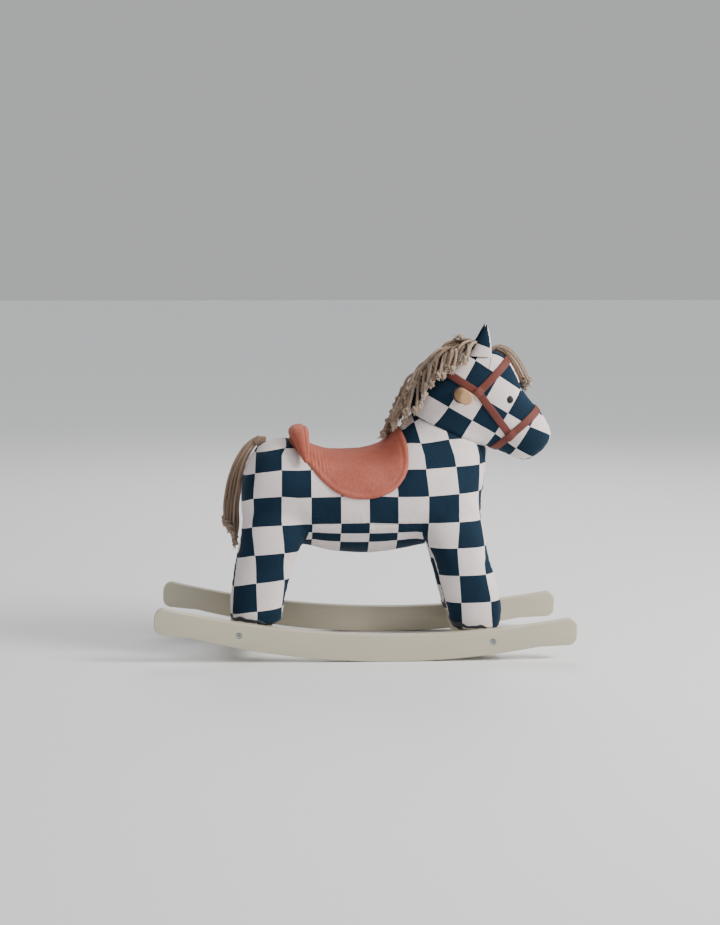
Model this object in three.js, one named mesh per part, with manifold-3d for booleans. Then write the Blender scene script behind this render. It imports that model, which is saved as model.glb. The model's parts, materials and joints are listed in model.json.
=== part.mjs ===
// A plush rocking horse: a stuffed fabric horse sewn over a wooden frame, bolted to two bent rockers.
// Millimetres, +X towards the nose, +Y to the horse's left, +Z up. The horse is designed level, standing on
// the middle of its rockers, and the whole group is then tipped nose-down to the angle that it rests at.
import * as THREE from "three";
import { mergeVertices } from "three/addons/utils/BufferGeometryUtils.js";
import Module from "manifold-3d";

const wasm = await Module();
wasm.setup();

// ---------------------------------------------------------------- driving dimensions

const GAP = 0.3; // clearance between pieces that touch
const REST_TILT = THREE.MathUtils.degToRad(1.93); // nose-down angle at rest

const ROCKER = {
  length: 712,
  thickness: 18,
  outerWidth: 270, // over the outer faces of both rockers
  bottomRadius: 1350,
  topRadius: 1680,
  midHeight: 46,
  facets: 13, // flats along the running edge, each as wide as the rest tilt
  endHeight: 57, // height of the outermost point of each end
  cornerRadius: 15,
  lowerCornerHeight: 51, // height of the centre of each end's lower corner
};
const BOLT = {
  x: 214,
  z: 39.2,
  shank: 3,
  head: 4.6,
  headHeight: 2.6,
  length: 50,
  socket: 2.1,
  socketDepth: 1.8,
  chamfer: 0.4,
  tip: 0.6,
  tipRoom: 6, // depth of the hole past the bolt's end
};
const BARREL_NUT = { radius: 5, length: 16, inset: 22 };
const RAIL = { x: 194, width: 72, thickness: 24 };
const RAIL_PIN = { x: 2 * RAIL.x - BOLT.x, radius: 4, length: 30, inRocker: 10 };
const FOOT = { x: 186, y: 76, plate: [50, 46, 10] };
const FOOT_BOLT = { shank: 3, head: 6, headHeight: 4, recess: 5, length: 62 };
const POST = { size: 26, topX: 148, topY: 37 };
const BLOCK = { x: 148, size: [56, 104, 24], bottom: 262 };
const SPINE = [364, 64, 18];
const SPINE_SCREW = { y: 25, shank: 2, head: 4, headHeight: 3, length: 38 };
const SCREW_POINT = { length: 2, radius: 0.6 };
const NECK_BOARD_THICKNESS = 44;
const HANDLE = { x: 151.5, z: 449, radius: 11.75, length: 280, rounding: 2 };
const EYE = { x: 236, z: 443, halfWidth: 5.4, halfHeight: 6.6, inner: 0.4, outer: 2 };
const STRAP = { width: 13, inner: 0.5, outer: 2.7 };
const SADDLE = { inner: 0.6, outer: 7 };
const WIDE = 240; // wider than the horse, for cutting shapes that pass right across it

const railBottom = BOLT.z - RAIL.thickness / 2;
const railTop = BOLT.z + RAIL.thickness / 2;
const plateTop = railTop + GAP + FOOT.plate[2];
const blockTop = BLOCK.bottom + BLOCK.size[2];
const spineTop = blockTop + GAP + SPINE[2];
const rockerY = (ROCKER.outerWidth - ROCKER.thickness) / 2;
const innerFaceY = rockerY - ROCKER.thickness / 2;

// ---------------------------------------------------------------- materials

const material = (color, roughness, metalness = 0) =>
  new THREE.MeshStandardMaterial({ color, roughness, metalness, flatShading: true });

const paint = material(0xd8cfb8, 0.5);
const beech = material(0xd9b382, 0.55);
const pine = material(0xe0c9a0, 0.7);
const zinc = material(0xb8bcc0, 0.35, 1);
const checks = material(0xd9cfcb, 0.9);
const navy = material(0x1f3a4c, 0.9);
const suede = material(0xc4735f, 0.95);
const leather = material(0x98463a, 0.6);
const cord = material(0xb0927a, 0.95);
const black = material(0x17191b, 0.45);

// ---------------------------------------------------------------- solids

function toSolid(geometry) {
  const bare = new THREE.BufferGeometry();
  bare.setAttribute("position", geometry.getAttribute("position"));
  bare.setIndex(geometry.index);
  const welded = mergeVertices(bare, 1e-4);
  return new wasm.Manifold(
    new wasm.Mesh({
      numProp: 3,
      vertProperties: new Float32Array(welded.getAttribute("position").array),
      triVerts: new Uint32Array(welded.index.array),
    }),
  );
}

function toGeometry(solid) {
  const mesh = solid.getMesh();
  const geometry = new THREE.BufferGeometry();
  geometry.setAttribute("position", new THREE.BufferAttribute(mesh.vertProperties, 3));
  geometry.setIndex(new THREE.BufferAttribute(mesh.triVerts, 1));
  geometry.computeVertexNormals();
  return geometry;
}

const cut = (geometry, ...tools) =>
  toGeometry(tools.reduce((solid, tool) => solid.subtract(toSolid(tool)), toSolid(geometry)));

const overlap = (a, b) => toGeometry(toSolid(a).intersect(toSolid(b)));

// The largest body of a geometry, without the slivers that a cut leaves beside it.
const trimmed = (geometry) =>
  toGeometry(
    toSolid(geometry)
      .decompose()
      .reduce((best, body) => (body.volume() > best.volume() ? body : best)),
  );

// Moves each point of a smooth closed geometry outwards by a distance.
function grown(geometry, distance) {
  const bare = new THREE.BufferGeometry();
  bare.setAttribute("position", geometry.getAttribute("position").clone());
  bare.setIndex(geometry.index);
  const result = mergeVertices(bare, 1e-3);
  result.computeVertexNormals();
  const position = result.getAttribute("position");
  const normal = result.getAttribute("normal");
  const p = new THREE.Vector3();
  const n = new THREE.Vector3();
  for (let i = 0; i < position.count; i++) {
    p.fromBufferAttribute(position, i).addScaledVector(n.fromBufferAttribute(normal, i), distance);
    position.setXYZ(i, p.x, p.y, p.z);
  }
  return result;
}

const box = (size, centre) => new THREE.BoxGeometry(...size).translate(...centre);

// A cylinder along "y" or "z".
function cylinder(radius, length, axis, centre, sides = 20) {
  const geometry = new THREE.CylinderGeometry(radius, radius, length, sides);
  if (axis === "z") geometry.rotateX(Math.PI / 2);
  return geometry.translate(...centre);
}

// A closed skin over a row of rings. ring(row, angle, reach) gives the point at an angle round a row, from the
// ring's centre at reach 0 to its rim at reach 1.
function skin(rows, sides, ring) {
  const geometry = new THREE.CylinderGeometry(1, 1, rows - 1, sides, rows - 1);
  const position = geometry.getAttribute("position");
  for (let i = 0; i < position.count; i++) {
    const [x, y, z] = [position.getX(i), position.getY(i), position.getZ(i)];
    const point = ring(Math.round((rows - 1) / 2 - y), Math.atan2(x, z), Math.hypot(x, z));
    position.setXYZ(i, point.x, point.y, point.z);
  }
  geometry.deleteAttribute("normal");
  geometry.deleteAttribute("uv");
  return mergeVertices(geometry, 1e-3);
}

const superellipse = (value, power) => Math.sign(value) * Math.abs(value) ** (2 / power);

// A stuffed form lofted through stations. Each station is [ux, uz, lx, lz, halfWidth, centreY]: the two ends of
// its section in side view, and its half width across the horse.
function stuffed(stations, { sides = 20, steps = 2, power = 2.4 } = {}) {
  const upper = stations.map(([ux, uz, , , halfWidth]) => new THREE.Vector3(ux, halfWidth, uz));
  const lower = stations.map(([, , lx, lz, , y = 0]) => new THREE.Vector3(lx, y, lz));
  const upperCurve = new THREE.CatmullRomCurve3(upper, false, "catmullrom");
  const lowerCurve = new THREE.CatmullRomCurve3(lower, false, "catmullrom");
  const rows = (stations.length - 1) * steps + 1;
  return skin(rows, sides, (row, angle, reach) => {
    const u = upperCurve.getPoint(row / (rows - 1));
    const l = lowerCurve.getPoint(row / (rows - 1));
    const along = superellipse(Math.cos(angle), power) * reach;
    const across = superellipse(Math.sin(angle), power) * reach;
    return new THREE.Vector3(
      (u.x + l.x) / 2 + ((u.x - l.x) / 2) * along,
      l.y + u.y * across,
      (u.z + l.z) / 2 + ((u.z - l.z) / 2) * along,
    );
  });
}

const mirrored = (stations) =>
  stations.map(([ux, uz, lx, lz, halfWidth, y = 0]) => [ux, uz, lx, lz, halfWidth, -y]);

// ---------------------------------------------------------------- rockers and cross rails

function rockerOutline() {
  const { length, bottomRadius, topRadius, midHeight, facets, cornerRadius, lowerCornerHeight } = ROCKER;
  const shape = new THREE.Shape();
  const vertexRadius = bottomRadius / Math.cos(REST_TILT / 2);
  for (let i = 0; i <= facets; i++) {
    const angle = (i - facets / 2) * REST_TILT;
    const x = vertexRadius * Math.sin(angle);
    const y = bottomRadius - vertexRadius * Math.cos(angle);
    if (i === 0) shape.moveTo(x, y);
    else shape.lineTo(x, y);
  }
  const cornerX = length / 2 - cornerRadius;
  const topAt = (x) => midHeight + topRadius - Math.sqrt(topRadius ** 2 - x ** 2);
  const upperCornerY = topAt(cornerX) - cornerRadius;
  shape.absarc(cornerX, lowerCornerHeight, cornerRadius, -Math.PI / 2, 0, false);
  shape.absarc(cornerX, upperCornerY, cornerRadius, 0, Math.PI / 2, false);
  const topSteps = 12;
  for (let i = 1; i < topSteps; i++) {
    const x = cornerX * (1 - (2 * i) / topSteps);
    shape.lineTo(x, topAt(x));
  }
  shape.absarc(-cornerX, upperCornerY, cornerRadius, Math.PI / 2, Math.PI, false);
  shape.absarc(-cornerX, lowerCornerHeight, cornerRadius, Math.PI, (3 * Math.PI) / 2, false);
  shape.closePath();
  return shape;
}

function rocker(side) {
  const { thickness } = ROCKER;
  const board = new THREE.ExtrudeGeometry(rockerOutline(), {
    depth: thickness,
    curveSegments: 2,
    bevelEnabled: false,
  });
  board.rotateX(Math.PI / 2).translate(0, thickness / 2, 0);
  const holes = [-1, 1].flatMap((end) => [
    cylinder(BOLT.shank + GAP, thickness + 2, "y", [end * BOLT.x, 0, BOLT.z], 12),
    cylinder(BOLT.head + GAP, 2 * (BOLT.headHeight + GAP), "y",
      [end * BOLT.x, (side * thickness) / 2, BOLT.z], 14),
    cylinder(RAIL_PIN.radius + GAP, 2 * (RAIL_PIN.inRocker + GAP), "y",
      [end * RAIL_PIN.x, (-side * thickness) / 2, BOLT.z], 12),
  ]);
  return cut(board, ...holes);
}

function crossRail(end) {
  const length = 2 * innerFaceY - 2 * GAP;
  const rail = box([RAIL.width, length, RAIL.thickness], [end * RAIL.x, 0, BOLT.z]);
  const holes = [-1, 1].flatMap((side) => [
    cylinder(BOLT.shank + GAP, 2 * (BOLT.length - ROCKER.thickness + BOLT.tipRoom), "y",
      [end * BOLT.x, side * innerFaceY, BOLT.z], 10),
    cylinder(BARREL_NUT.radius + GAP, RAIL.thickness + BARREL_NUT.length + 2 * GAP, "z",
      [end * BOLT.x, side * (innerFaceY - BARREL_NUT.inset), railBottom], 12),
    cylinder(RAIL_PIN.radius + GAP, 2 * (RAIL_PIN.length - RAIL_PIN.inRocker + GAP), "y",
      [end * RAIL_PIN.x, side * innerFaceY, BOLT.z], 12),
    cylinder(FOOT_BOLT.shank + GAP, 2 * RAIL.thickness, "z", [end * FOOT.x, side * FOOT.y, BOLT.z], 10),
    cylinder(FOOT_BOLT.head + GAP, 2 * FOOT_BOLT.recess, "z",
      [end * FOOT.x, side * FOOT.y, railBottom], 14),
  ]);
  return cut(rail, ...holes);
}

// A socket bolt along +Y, its head's face at the origin and its shank running to -Y.
function socketBolt() {
  const { shank, head, headHeight, length, socket, socketDepth, chamfer, tip } = BOLT;
  const profile = [[0, 0], [head - chamfer, 0], [head, -chamfer], [head, -headHeight],
    [shank, -headHeight], [shank, tip - length], [shank - tip, -length], [0, -length]];
  const points = profile.map(([x, y]) => new THREE.Vector2(x, y)).reverse();
  return cut(new THREE.LatheGeometry(points, 12), cylinder(socket, 2 * socketDepth, "y", [0, 0, 0], 6));
}

// A barrel nut along Z with a cross hole along Y.
const barrelNut = () =>
  cut(
    cylinder(BARREL_NUT.radius, BARREL_NUT.length, "z", [0, 0, 0], 12),
    cylinder(BOLT.shank + GAP, 3 * BARREL_NUT.radius, "y", [0, 0, 0], 10),
  );

// A screw along +Z, its head's face at the origin and its shank running to -Z.
function screw({ shank, head, headHeight, length }, countersunk) {
  const neck = countersunk ? [] : [[head, -headHeight]];
  const profile = [[0, 0], [head, 0], ...neck, [shank, -headHeight],
    [shank, SCREW_POINT.length - length], [SCREW_POINT.radius, -length], [0, -length]];
  const points = profile.map(([x, y]) => new THREE.Vector2(x, y)).reverse();
  return new THREE.LatheGeometry(points, 10).rotateX(Math.PI / 2);
}

// ---------------------------------------------------------------- wooden frame inside the horse

// A post leaning from a foot plate up and in to a block, both ends flat and level.
function post(end, side, clearance = 0) {
  const [fromZ, toZ] = [plateTop + GAP, BLOCK.bottom - GAP];
  const height = toZ - fromZ;
  const size = POST.size + 2 * clearance;
  const lean = new THREE.Matrix4().makeShear(
    0, 0, 0, 0, (end * (POST.topX - FOOT.x)) / height, (side * (POST.topY - FOOT.y)) / height,
  );
  return new THREE.BoxGeometry(size, size, height)
    .translate(0, 0, height / 2)
    .applyMatrix4(lean)
    .translate(end * FOOT.x, side * FOOT.y, fromZ);
}

const footBoltHole = (end, side) =>
  cylinder(FOOT_BOLT.shank + GAP, 2 * (FOOT_BOLT.length + GAP), "z",
    [end * FOOT.x, side * FOOT.y, railBottom + FOOT_BOLT.recess - FOOT_BOLT.headHeight], 10);

const plateBox = (end, side, clearance = 0) =>
  box(FOOT.plate.map((length) => length + 2 * clearance),
    [end * FOOT.x, side * FOOT.y, plateTop - FOOT.plate[2] / 2]);

const footPlate = (end, side) => cut(plateBox(end, side), footBoltHole(end, side));

const screwHole = (end, side) =>
  cylinder(SPINE_SCREW.shank + GAP, 2 * (SPINE_SCREW.length + GAP), "z",
    [end * BLOCK.x, side * SPINE_SCREW.y, spineTop], 10);

const block = (end) =>
  cut(
    box(BLOCK.size, [end * BLOCK.x, 0, BLOCK.bottom + BLOCK.size[2] / 2]),
    screwHole(end, 1),
    screwHole(end, -1),
  );

function spineBoard() {
  const heads = [-1, 1].flatMap((end) => [-1, 1].flatMap((side) => [
    screwHole(end, side),
    cylinder(SPINE_SCREW.head + GAP, 2 * (SPINE_SCREW.headHeight + GAP), "z",
      [end * BLOCK.x, side * SPINE_SCREW.y, spineTop], 12),
  ]));
  return cut(box(SPINE, [0, 0, spineTop - SPINE[2] / 2]), ...heads);
}

// The board that stands on the spine and follows the neck and head in side view.
function neckBlank(clearance = 0) {
  const outline = [[116, spineTop + GAP], [182, spineTop + GAP], [186, 372], [258, 364], [286, 380],
    [286, 404], [236, 484], [160, 500], [116, 452]];
  const shape = new THREE.Shape(outline.map(([x, y]) => new THREE.Vector2(x, y)));
  const board = new THREE.ExtrudeGeometry(shape, {
    depth: NECK_BOARD_THICKNESS,
    bevelEnabled: clearance > 0,
    bevelThickness: clearance,
    bevelSize: clearance,
    bevelSegments: 1,
  });
  return board.rotateX(Math.PI / 2).translate(0, NECK_BOARD_THICKNESS / 2, 0);
}

const handleHole = cylinder(HANDLE.radius + GAP, HANDLE.length, "y", [HANDLE.x, 0, HANDLE.z], 24);

function handle() {
  const { radius, length, rounding } = HANDLE;
  const half = length / 2;
  const points = [[0, -half], [radius - rounding, -half], [radius, rounding - half],
    [radius, half - rounding], [radius - rounding, half], [0, half]];
  return new THREE.LatheGeometry(points.map(([x, y]) => new THREE.Vector2(x, y)), 24);
}

// The room that the stuffing leaves for the frame.
function frameRoom() {
  const rooms = [
    box(SPINE.map((side) => side + 4 * GAP), [0, 0, spineTop - SPINE[2] / 2]),
    neckBlank(2 * GAP),
  ];
  for (const end of [-1, 1]) {
    rooms.push(box(BLOCK.size.map((side) => side + 4 * GAP),
      [end * BLOCK.x, 0, BLOCK.bottom + BLOCK.size[2] / 2]));
    for (const side of [-1, 1]) rooms.push(post(end, side, 2 * GAP));
  }
  return rooms;
}

// ---------------------------------------------------------------- stuffed horse

const torso = stuffed([
  [-220, 285, -220, 258, 28],
  [-214, 312, -217, 228, 62],
  [-200, 338, -208, 204, 80],
  [-179, 356, -180, 188, 90],
  [-145, 363, -140, 180, 94],
  [-112, 352, -100, 175, 95],
  [-76, 341, -70, 168, 95],
  [-35, 341, -30, 164.5, 95],
  [-5, 346, 10, 165, 94],
  [20, 355, 55, 172, 93],
  [38, 370, 100, 182, 92],
  [50, 386, 150, 195, 88],
  [60, 398, 188, 225, 80],
  [66, 404, 197, 280, 70],
  [70, 408, 200, 320, 62],
  [71, 410, 201, 356, 54],
], { sides: 20, steps: 1 });

const head = stuffed([
  [70.5, 411.5, 200.5, 357.6, 54],
  [72, 440, 206, 359, 57],
  [92, 478, 212, 357, 59],
  [122, 507, 217, 355, 60],
  [158, 523, 222, 353, 60],
  [196, 526, 228, 350.5, 59],
  [226, 515, 235, 347.5, 56],
  [246, 491, 243, 344, 53],
  [262, 462, 251, 340.5, 50],
  [281, 437, 260, 337, 47],
  [299, 418, 270, 335, 43],
  [311, 401, 283, 338.5, 37],
  [316.5, 387, 295, 347, 29],
  [316.8, 377, 305, 357, 16],
], { sides: 20, steps: 1 });

const REAR_LEG = [
  [-223, railTop + GAP, -149, railTop + GAP, 34, 77],
  [-230, 60, -142, 60, 37, 76.5],
  [-233, 82, -138, 82, 38, 76],
  [-230, 116, -132, 116, 38, 75],
  [-224.5, 150, -124, 150, 38, 72],
  [-218.7, 182, -112, 182, 40, 67],
  [-216.5, 215, -102, 215, 42, 58],
  [-213, 240, -97, 240, 42, 52],
];
const FRONT_LEG = [
  [151, railTop + GAP, 224, railTop + GAP, 34, 77],
  [145, 60, 230, 60, 37, 76.5],
  [138, 84, 232, 84, 38, 76],
  [127, 114, 227, 114, 38, 75],
  [117, 150, 214, 150, 38, 72],
  [106, 180, 203, 180, 40, 67],
  [92, 210, 194.5, 210, 42, 58],
  [84, 240, 187, 240, 42, 52],
];

function leg(end, side) {
  const stations = end < 0 ? REAR_LEG : FRONT_LEG;
  const form = stuffed(side > 0 ? stations : mirrored(stations), { sides: 14, steps: 1 });
  return cut(form, grown(torso, GAP), post(end, side, 2 * GAP), plateBox(end, side, GAP));
}

const EAR = [
  [158, 504, 204, 506, 7, 34],
  [166, 530, 202, 530, 6, 30],
  [177, 549, 197.5, 549, 4, 24],
  [190, 568.5, 193.5, 568.5, 1.2, 17],
];

const ear = (side) =>
  cut(stuffed(side > 0 ? EAR : mirrored(EAR), { sides: 12, steps: 1 }), grown(head, GAP));

const headSkin = (inner, outer) => cut(grown(head, outer), grown(head, inner));

function eye(side) {
  const button = cylinder(1, WIDE / 4, "y", [0, 0, 0], 20).scale(EYE.halfWidth, 1, EYE.halfHeight);
  return overlap(headSkin(EYE.inner, EYE.outer), button.translate(EYE.x, (side * WIDE) / 4, EYE.z));
}

// ---------------------------------------------------------------- saddle

// The saddle's outline in side view: its curved lower edge, closed well above the horse's back.
function saddleOutline() {
  const edge = [[51, 389], [62, 364], [64.5, 338], [61, 316], [40, 285], [-10, 269.5], [-60, 281],
    [-103, 321], [-139, 358]];
  const shape = new THREE.Shape();
  shape.moveTo(-139, 420);
  shape.lineTo(51, 420);
  shape.lineTo(...edge[0]);
  shape.splineThru(edge.slice(1).map(([x, y]) => new THREE.Vector2(x, y)));
  return shape;
}

function saddleSeat() {
  const outline = new THREE.ExtrudeGeometry(saddleOutline(), {
    depth: WIDE,
    bevelEnabled: false,
    curveSegments: 3,
  });
  outline.rotateX(Math.PI / 2).translate(0, WIDE / 2, 0);
  return cut(overlap(grown(torso, SADDLE.outer), outline), grown(torso, SADDLE.inner));
}

// The padded roll at the back of the seat: an arch over the horse's back that thins towards its ends.
function cantle() {
  const arch = [[-107, 86, 331, 4, 5], [-113, 74, 348, 10, 8], [-119, 55, 363, 14, 11],
    [-122, 30, 370, 17, 13], [-123, 0, 373, 17.5, 13.5]];
  const stations = [...arch, ...arch.slice(0, -1).reverse().map(([x, y, z, a, b]) => [x, -y, z, a, b])];
  const hub = new THREE.Vector3(-115, 0, 290);
  const form = skin(stations.length, 14, (row, angle, reach) => {
    const [x, y, z, foreAft, radial] = stations[row];
    const centre = new THREE.Vector3(x, y, z);
    const outwards = new THREE.Vector3(0, y, z - hub.z).normalize();
    return centre
      .addScaledVector(outwards, radial * Math.cos(angle) * reach)
      .add(new THREE.Vector3(foreAft * Math.sin(angle) * reach, 0, 0));
  });
  return cut(form, grown(torso, SADDLE.outer + GAP));
}

// ---------------------------------------------------------------- bridle

const CHEEK_TOP = [181, 453];
const CHEEK_BOTTOM = [239, 381];

// Each line in side view that a strap follows. All but the cheek's run on past the edge of the head.
const BRIDLE_LINES = {
  crown: [CHEEK_TOP, [81, 512]],
  brow: [CHEEK_TOP, [274, 553]],
  cheek: [CHEEK_TOP, CHEEK_BOTTOM],
  nose: [CHEEK_BOTTOM, [334, 467]],
  chin: [CHEEK_BOTTOM, [187, 329]],
};

// A flat slab square to the horse's middle plane, along a bridle line; side 0 takes in both sides of the head.
function slab(line, { start = 0, end = 0, clearance = 0, side = 0 } = {}) {
  const [[ax, az], [bx, bz]] = BRIDLE_LINES[line];
  const length = Math.hypot(bx - ax, bz - az) + start + end;
  const across = side ? WIDE / 2 : WIDE;
  const geometry = new THREE.BoxGeometry(length, across, STRAP.width + 2 * clearance);
  return geometry
    .translate(length / 2 - start, (side * across) / 2, 0)
    .rotateY(-Math.atan2(bz - az, bx - ax))
    .translate(ax, 0, az);
}

const strapSkin = headSkin(STRAP.inner, STRAP.outer);
const lap = STRAP.width / 2;

const crownStrap = () => overlap(strapSkin, slab("crown", { start: lap }));
const browband = () =>
  cut(
    overlap(strapSkin, slab("brow")),
    slab("crown", { start: lap, clearance: GAP }),
    slab("cheek", { end: lap, clearance: GAP }),
  );
const noseband = () => overlap(strapSkin, slab("nose", { start: lap }));
const chinStrap = () =>
  cut(
    overlap(strapSkin, slab("chin")),
    slab("nose", { start: lap + GAP, clearance: GAP }),
    slab("cheek", { end: lap, clearance: GAP }),
  );
const cheekStrap = (side) =>
  cut(
    overlap(strapSkin, slab("cheek", { end: lap, side })),
    slab("crown", { start: lap + GAP, clearance: GAP }),
    slab("nose", { start: lap + GAP, clearance: GAP }),
  );

// ---------------------------------------------------------------- cords: mane, forelock, tail

const MANE = [
  [14, 370, 33, 372, 52],
  [26, 390, 54, 392, 56],
  [42, 420, 76, 418, 62],
  [60, 452, 99, 444, 67],
  [86, 492, 124, 476, 71],
  [120, 530, 142, 488, 73],
  [155, 548, 160, 505, 70],
  [184, 543, 178, 515, 50],
];
const FORELOCK = [
  [205, 537, 202, 520, 16],
  [222, 537, 215, 515, 20],
  [243, 523, 232, 503, 21],
  [257, 501, 245, 484, 20],
  [269, 485, 256, 466, 18],
  [277, 470, 266, 455, 13],
];
const TAIL = [
  [-243, 172, -224, 170, 9],
  [-250, 198, -222, 194, 14],
  [-251, 222, -224, 222, 16],
  [-247, 262, -226, 262, 15],
  [-241, 296, -223, 291, 14],
  [-229, 326, -213, 312, 13],
  [-213, 348, -203, 332, 11],
  [-200, 359, -194, 346, 10],
];
const TAIL_BINDING = [
  [-199.5, 359.4, -193.5, 346.4, 10],
  [-188, 366, -184.5, 355, 9],
];

const mane = () =>
  cut(
    stuffed(MANE, { sides: 16, steps: 1, power: 4 }),
    grown(head, STRAP.outer + GAP),
    grown(torso, SADDLE.outer + GAP),
    ear(1),
    ear(-1),
  );
const forelock = () =>
  cut(stuffed(FORELOCK, { sides: 10, steps: 1, power: 3 }), grown(head, STRAP.outer + GAP));
const tail = () => cut(stuffed(TAIL, { sides: 10, steps: 1 }), grown(torso, 2 * GAP));
const tailBinding = () => cut(stuffed(TAIL_BINDING, { sides: 12, steps: 1 }), grown(torso, 2 * GAP));

// ---------------------------------------------------------------- assembly

const horse = new THREE.Group();
horse.rotation.y = REST_TILT;
horse.position.set(
  -ROCKER.endHeight * Math.sin(REST_TILT),
  0,
  ROCKER.bottomRadius * (1 - Math.cos(REST_TILT)),
);

function place(name, geometry, finish, position = [0, 0, 0]) {
  const mesh = new THREE.Mesh(geometry, finish.clone());
  mesh.name = name;
  mesh.position.set(...position);
  horse.add(mesh);
  return mesh;
}

const ENDS = [[1, "front"], [-1, "rear"]];
const SIDES = [[1, "left"], [-1, "right"]];

for (const [side, sideName] of SIDES) {
  place(`rocker_${sideName}`, rocker(side), paint, [0, side * rockerY, 0]);
  place(`cheek_strap_${sideName}`, trimmed(cheekStrap(side)), leather);
  place(`ear_${sideName}`, ear(side), navy);
  place(`eye_${sideName}`, eye(side), black);
}
for (const [end, endName] of ENDS) {
  place(`cross_rail_${endName}`, crossRail(end), paint);
  place(end > 0 ? "shoulder_block" : "hip_block", block(end), pine);
  for (const [side, sideName] of SIDES) {
    const corner = `${endName}_${sideName}`;
    const bolt = place(`rocker_bolt_${corner}`, socketBolt(), zinc,
      [end * BOLT.x, side * (ROCKER.outerWidth / 2 - GAP), BOLT.z]);
    if (side < 0) bolt.rotation.z = Math.PI;
    place(`barrel_nut_${corner}`, barrelNut(), zinc,
      [end * BOLT.x, side * (innerFaceY - BARREL_NUT.inset), BOLT.z]);
    place(`rail_pin_${corner}`, cylinder(RAIL_PIN.radius, RAIL_PIN.length, "y", [0, 0, 0], 12), beech,
      [end * RAIL_PIN.x, side * (innerFaceY + RAIL_PIN.inRocker - RAIL_PIN.length / 2), BOLT.z]);
    const footBolt = place(`foot_bolt_${corner}`, screw(FOOT_BOLT, false), zinc,
      [end * FOOT.x, side * FOOT.y, railBottom + FOOT_BOLT.recess - FOOT_BOLT.headHeight - GAP]);
    footBolt.rotation.x = Math.PI;
    place(`foot_plate_${corner}`, footPlate(end, side), beech);
    place(`leg_post_${corner}`, cut(post(end, side), footBoltHole(end, side)), pine);
    place(`spine_screw_${corner}`, screw(SPINE_SCREW, true), zinc,
      [end * BLOCK.x, side * SPINE_SCREW.y, spineTop - GAP / 2]);
    place(`leg_${corner}`, leg(end, side), checks);
  }
}

place("spine_board", spineBoard(), pine);
place("neck_board", cut(neckBlank(), handleHole), pine);
place("handle_dowel", handle(), beech, [HANDLE.x, 0, HANDLE.z]);
place("torso", cut(torso, ...frameRoom()), checks);
place("head", cut(head, neckBlank(2 * GAP), handleHole), checks);
place("saddle_seat", saddleSeat(), suede);
place("saddle_cantle", cantle(), suede);
place("crown_strap", trimmed(crownStrap()), leather);
place("browband", trimmed(browband()), leather);
place("noseband", trimmed(noseband()), leather);
place("chin_strap", trimmed(chinStrap()), leather);
place("mane", trimmed(mane()), cord);
place("forelock", trimmed(forelock()), cord);
place("tail", trimmed(tail()), cord);
place("tail_binding", tailBinding(), cord);

export default horse;
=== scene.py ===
# Looks of the plush rocking horse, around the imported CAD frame. Blender 4.5, metres, +X to the nose, +Z up.
# The shapes are worked out in millimetres in the horse's level frame (u forwards, y to its left, v up), and
# level_to_row() tips them to the angle that the horse rests at.
import json
import math

import bmesh
import bpy
import numpy as np
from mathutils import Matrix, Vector
from mathutils.bvhtree import BVHTree


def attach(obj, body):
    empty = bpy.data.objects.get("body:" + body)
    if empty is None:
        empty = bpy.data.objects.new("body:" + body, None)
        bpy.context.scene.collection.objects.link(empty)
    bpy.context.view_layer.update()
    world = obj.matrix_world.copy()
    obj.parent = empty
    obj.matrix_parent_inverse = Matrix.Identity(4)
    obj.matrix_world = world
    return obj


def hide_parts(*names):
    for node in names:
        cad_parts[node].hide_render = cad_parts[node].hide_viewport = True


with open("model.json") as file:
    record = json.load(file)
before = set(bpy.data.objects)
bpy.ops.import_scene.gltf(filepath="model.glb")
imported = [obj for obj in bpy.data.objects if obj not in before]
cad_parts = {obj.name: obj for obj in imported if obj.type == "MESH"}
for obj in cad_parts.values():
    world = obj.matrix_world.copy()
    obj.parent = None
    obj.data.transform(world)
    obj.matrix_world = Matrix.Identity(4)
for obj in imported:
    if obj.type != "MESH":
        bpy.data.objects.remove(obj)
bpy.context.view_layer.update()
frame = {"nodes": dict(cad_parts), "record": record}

# ---------------------------------------------------------------- sizes, in millimetres

REST_TILT = math.radians(1.93)
ROCKER = dict(length=712, thickness=18, outer_width=270, bottom=1350, top=1680, mid=46, end_height=57,
              corner=15, corner_height=51, running=12.545, rounding=2.4)
BOLT = dict(u=214, v=39.2, head=4.6, depth=2.6, socket=2.3)  # its place in side view, and its head's sizes
HANDLE = dict(u=151.5, v=449, radius=11.75, length=280, rounding=3.0)
CHECK = 48.7
CORD = 5.0
TORSO_POWER = 2.4
EYE = dict(u=236.2, v=442.8, half_width=6.0, half_height=6.7, dome=3.0, sunk=1.0)
EAR = dict(base=(187.5, 30, 513.5), tip=(195.5, 15, 568.2), width=26.0, depth=10.2, lining=1.6, opening=118)
THREAD_PITCH = 0.75
SIDES = ((1, "left"), (-1, "right"))
ENDS = ((1, "front"), (-1, "rear"))


def level_to_row(points):
    """Level-frame millimetres to row-frame metres."""
    p = np.atleast_2d(np.asarray(points, float))
    c, s = math.cos(REST_TILT), math.sin(REST_TILT)
    x = p[:, 0] * c + p[:, 2] * s - ROCKER["end_height"] * s
    z = -p[:, 0] * s + p[:, 2] * c + ROCKER["bottom"] * (1 - c)
    return np.stack([x, p[:, 1], z], axis=1) / 1000


def row_to_level(points):
    """Row-frame metres to level-frame millimetres."""
    p = np.atleast_2d(np.asarray(points, float)) * 1000
    c, s = math.cos(REST_TILT), math.sin(REST_TILT)
    x = p[:, 0] + ROCKER["end_height"] * s
    z = p[:, 2] - ROCKER["bottom"] * (1 - c)
    return np.stack([x * c - z * s, p[:, 1], x * s + z * c], axis=1)


# ---------------------------------------------------------------- camera, lights, floor

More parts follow.
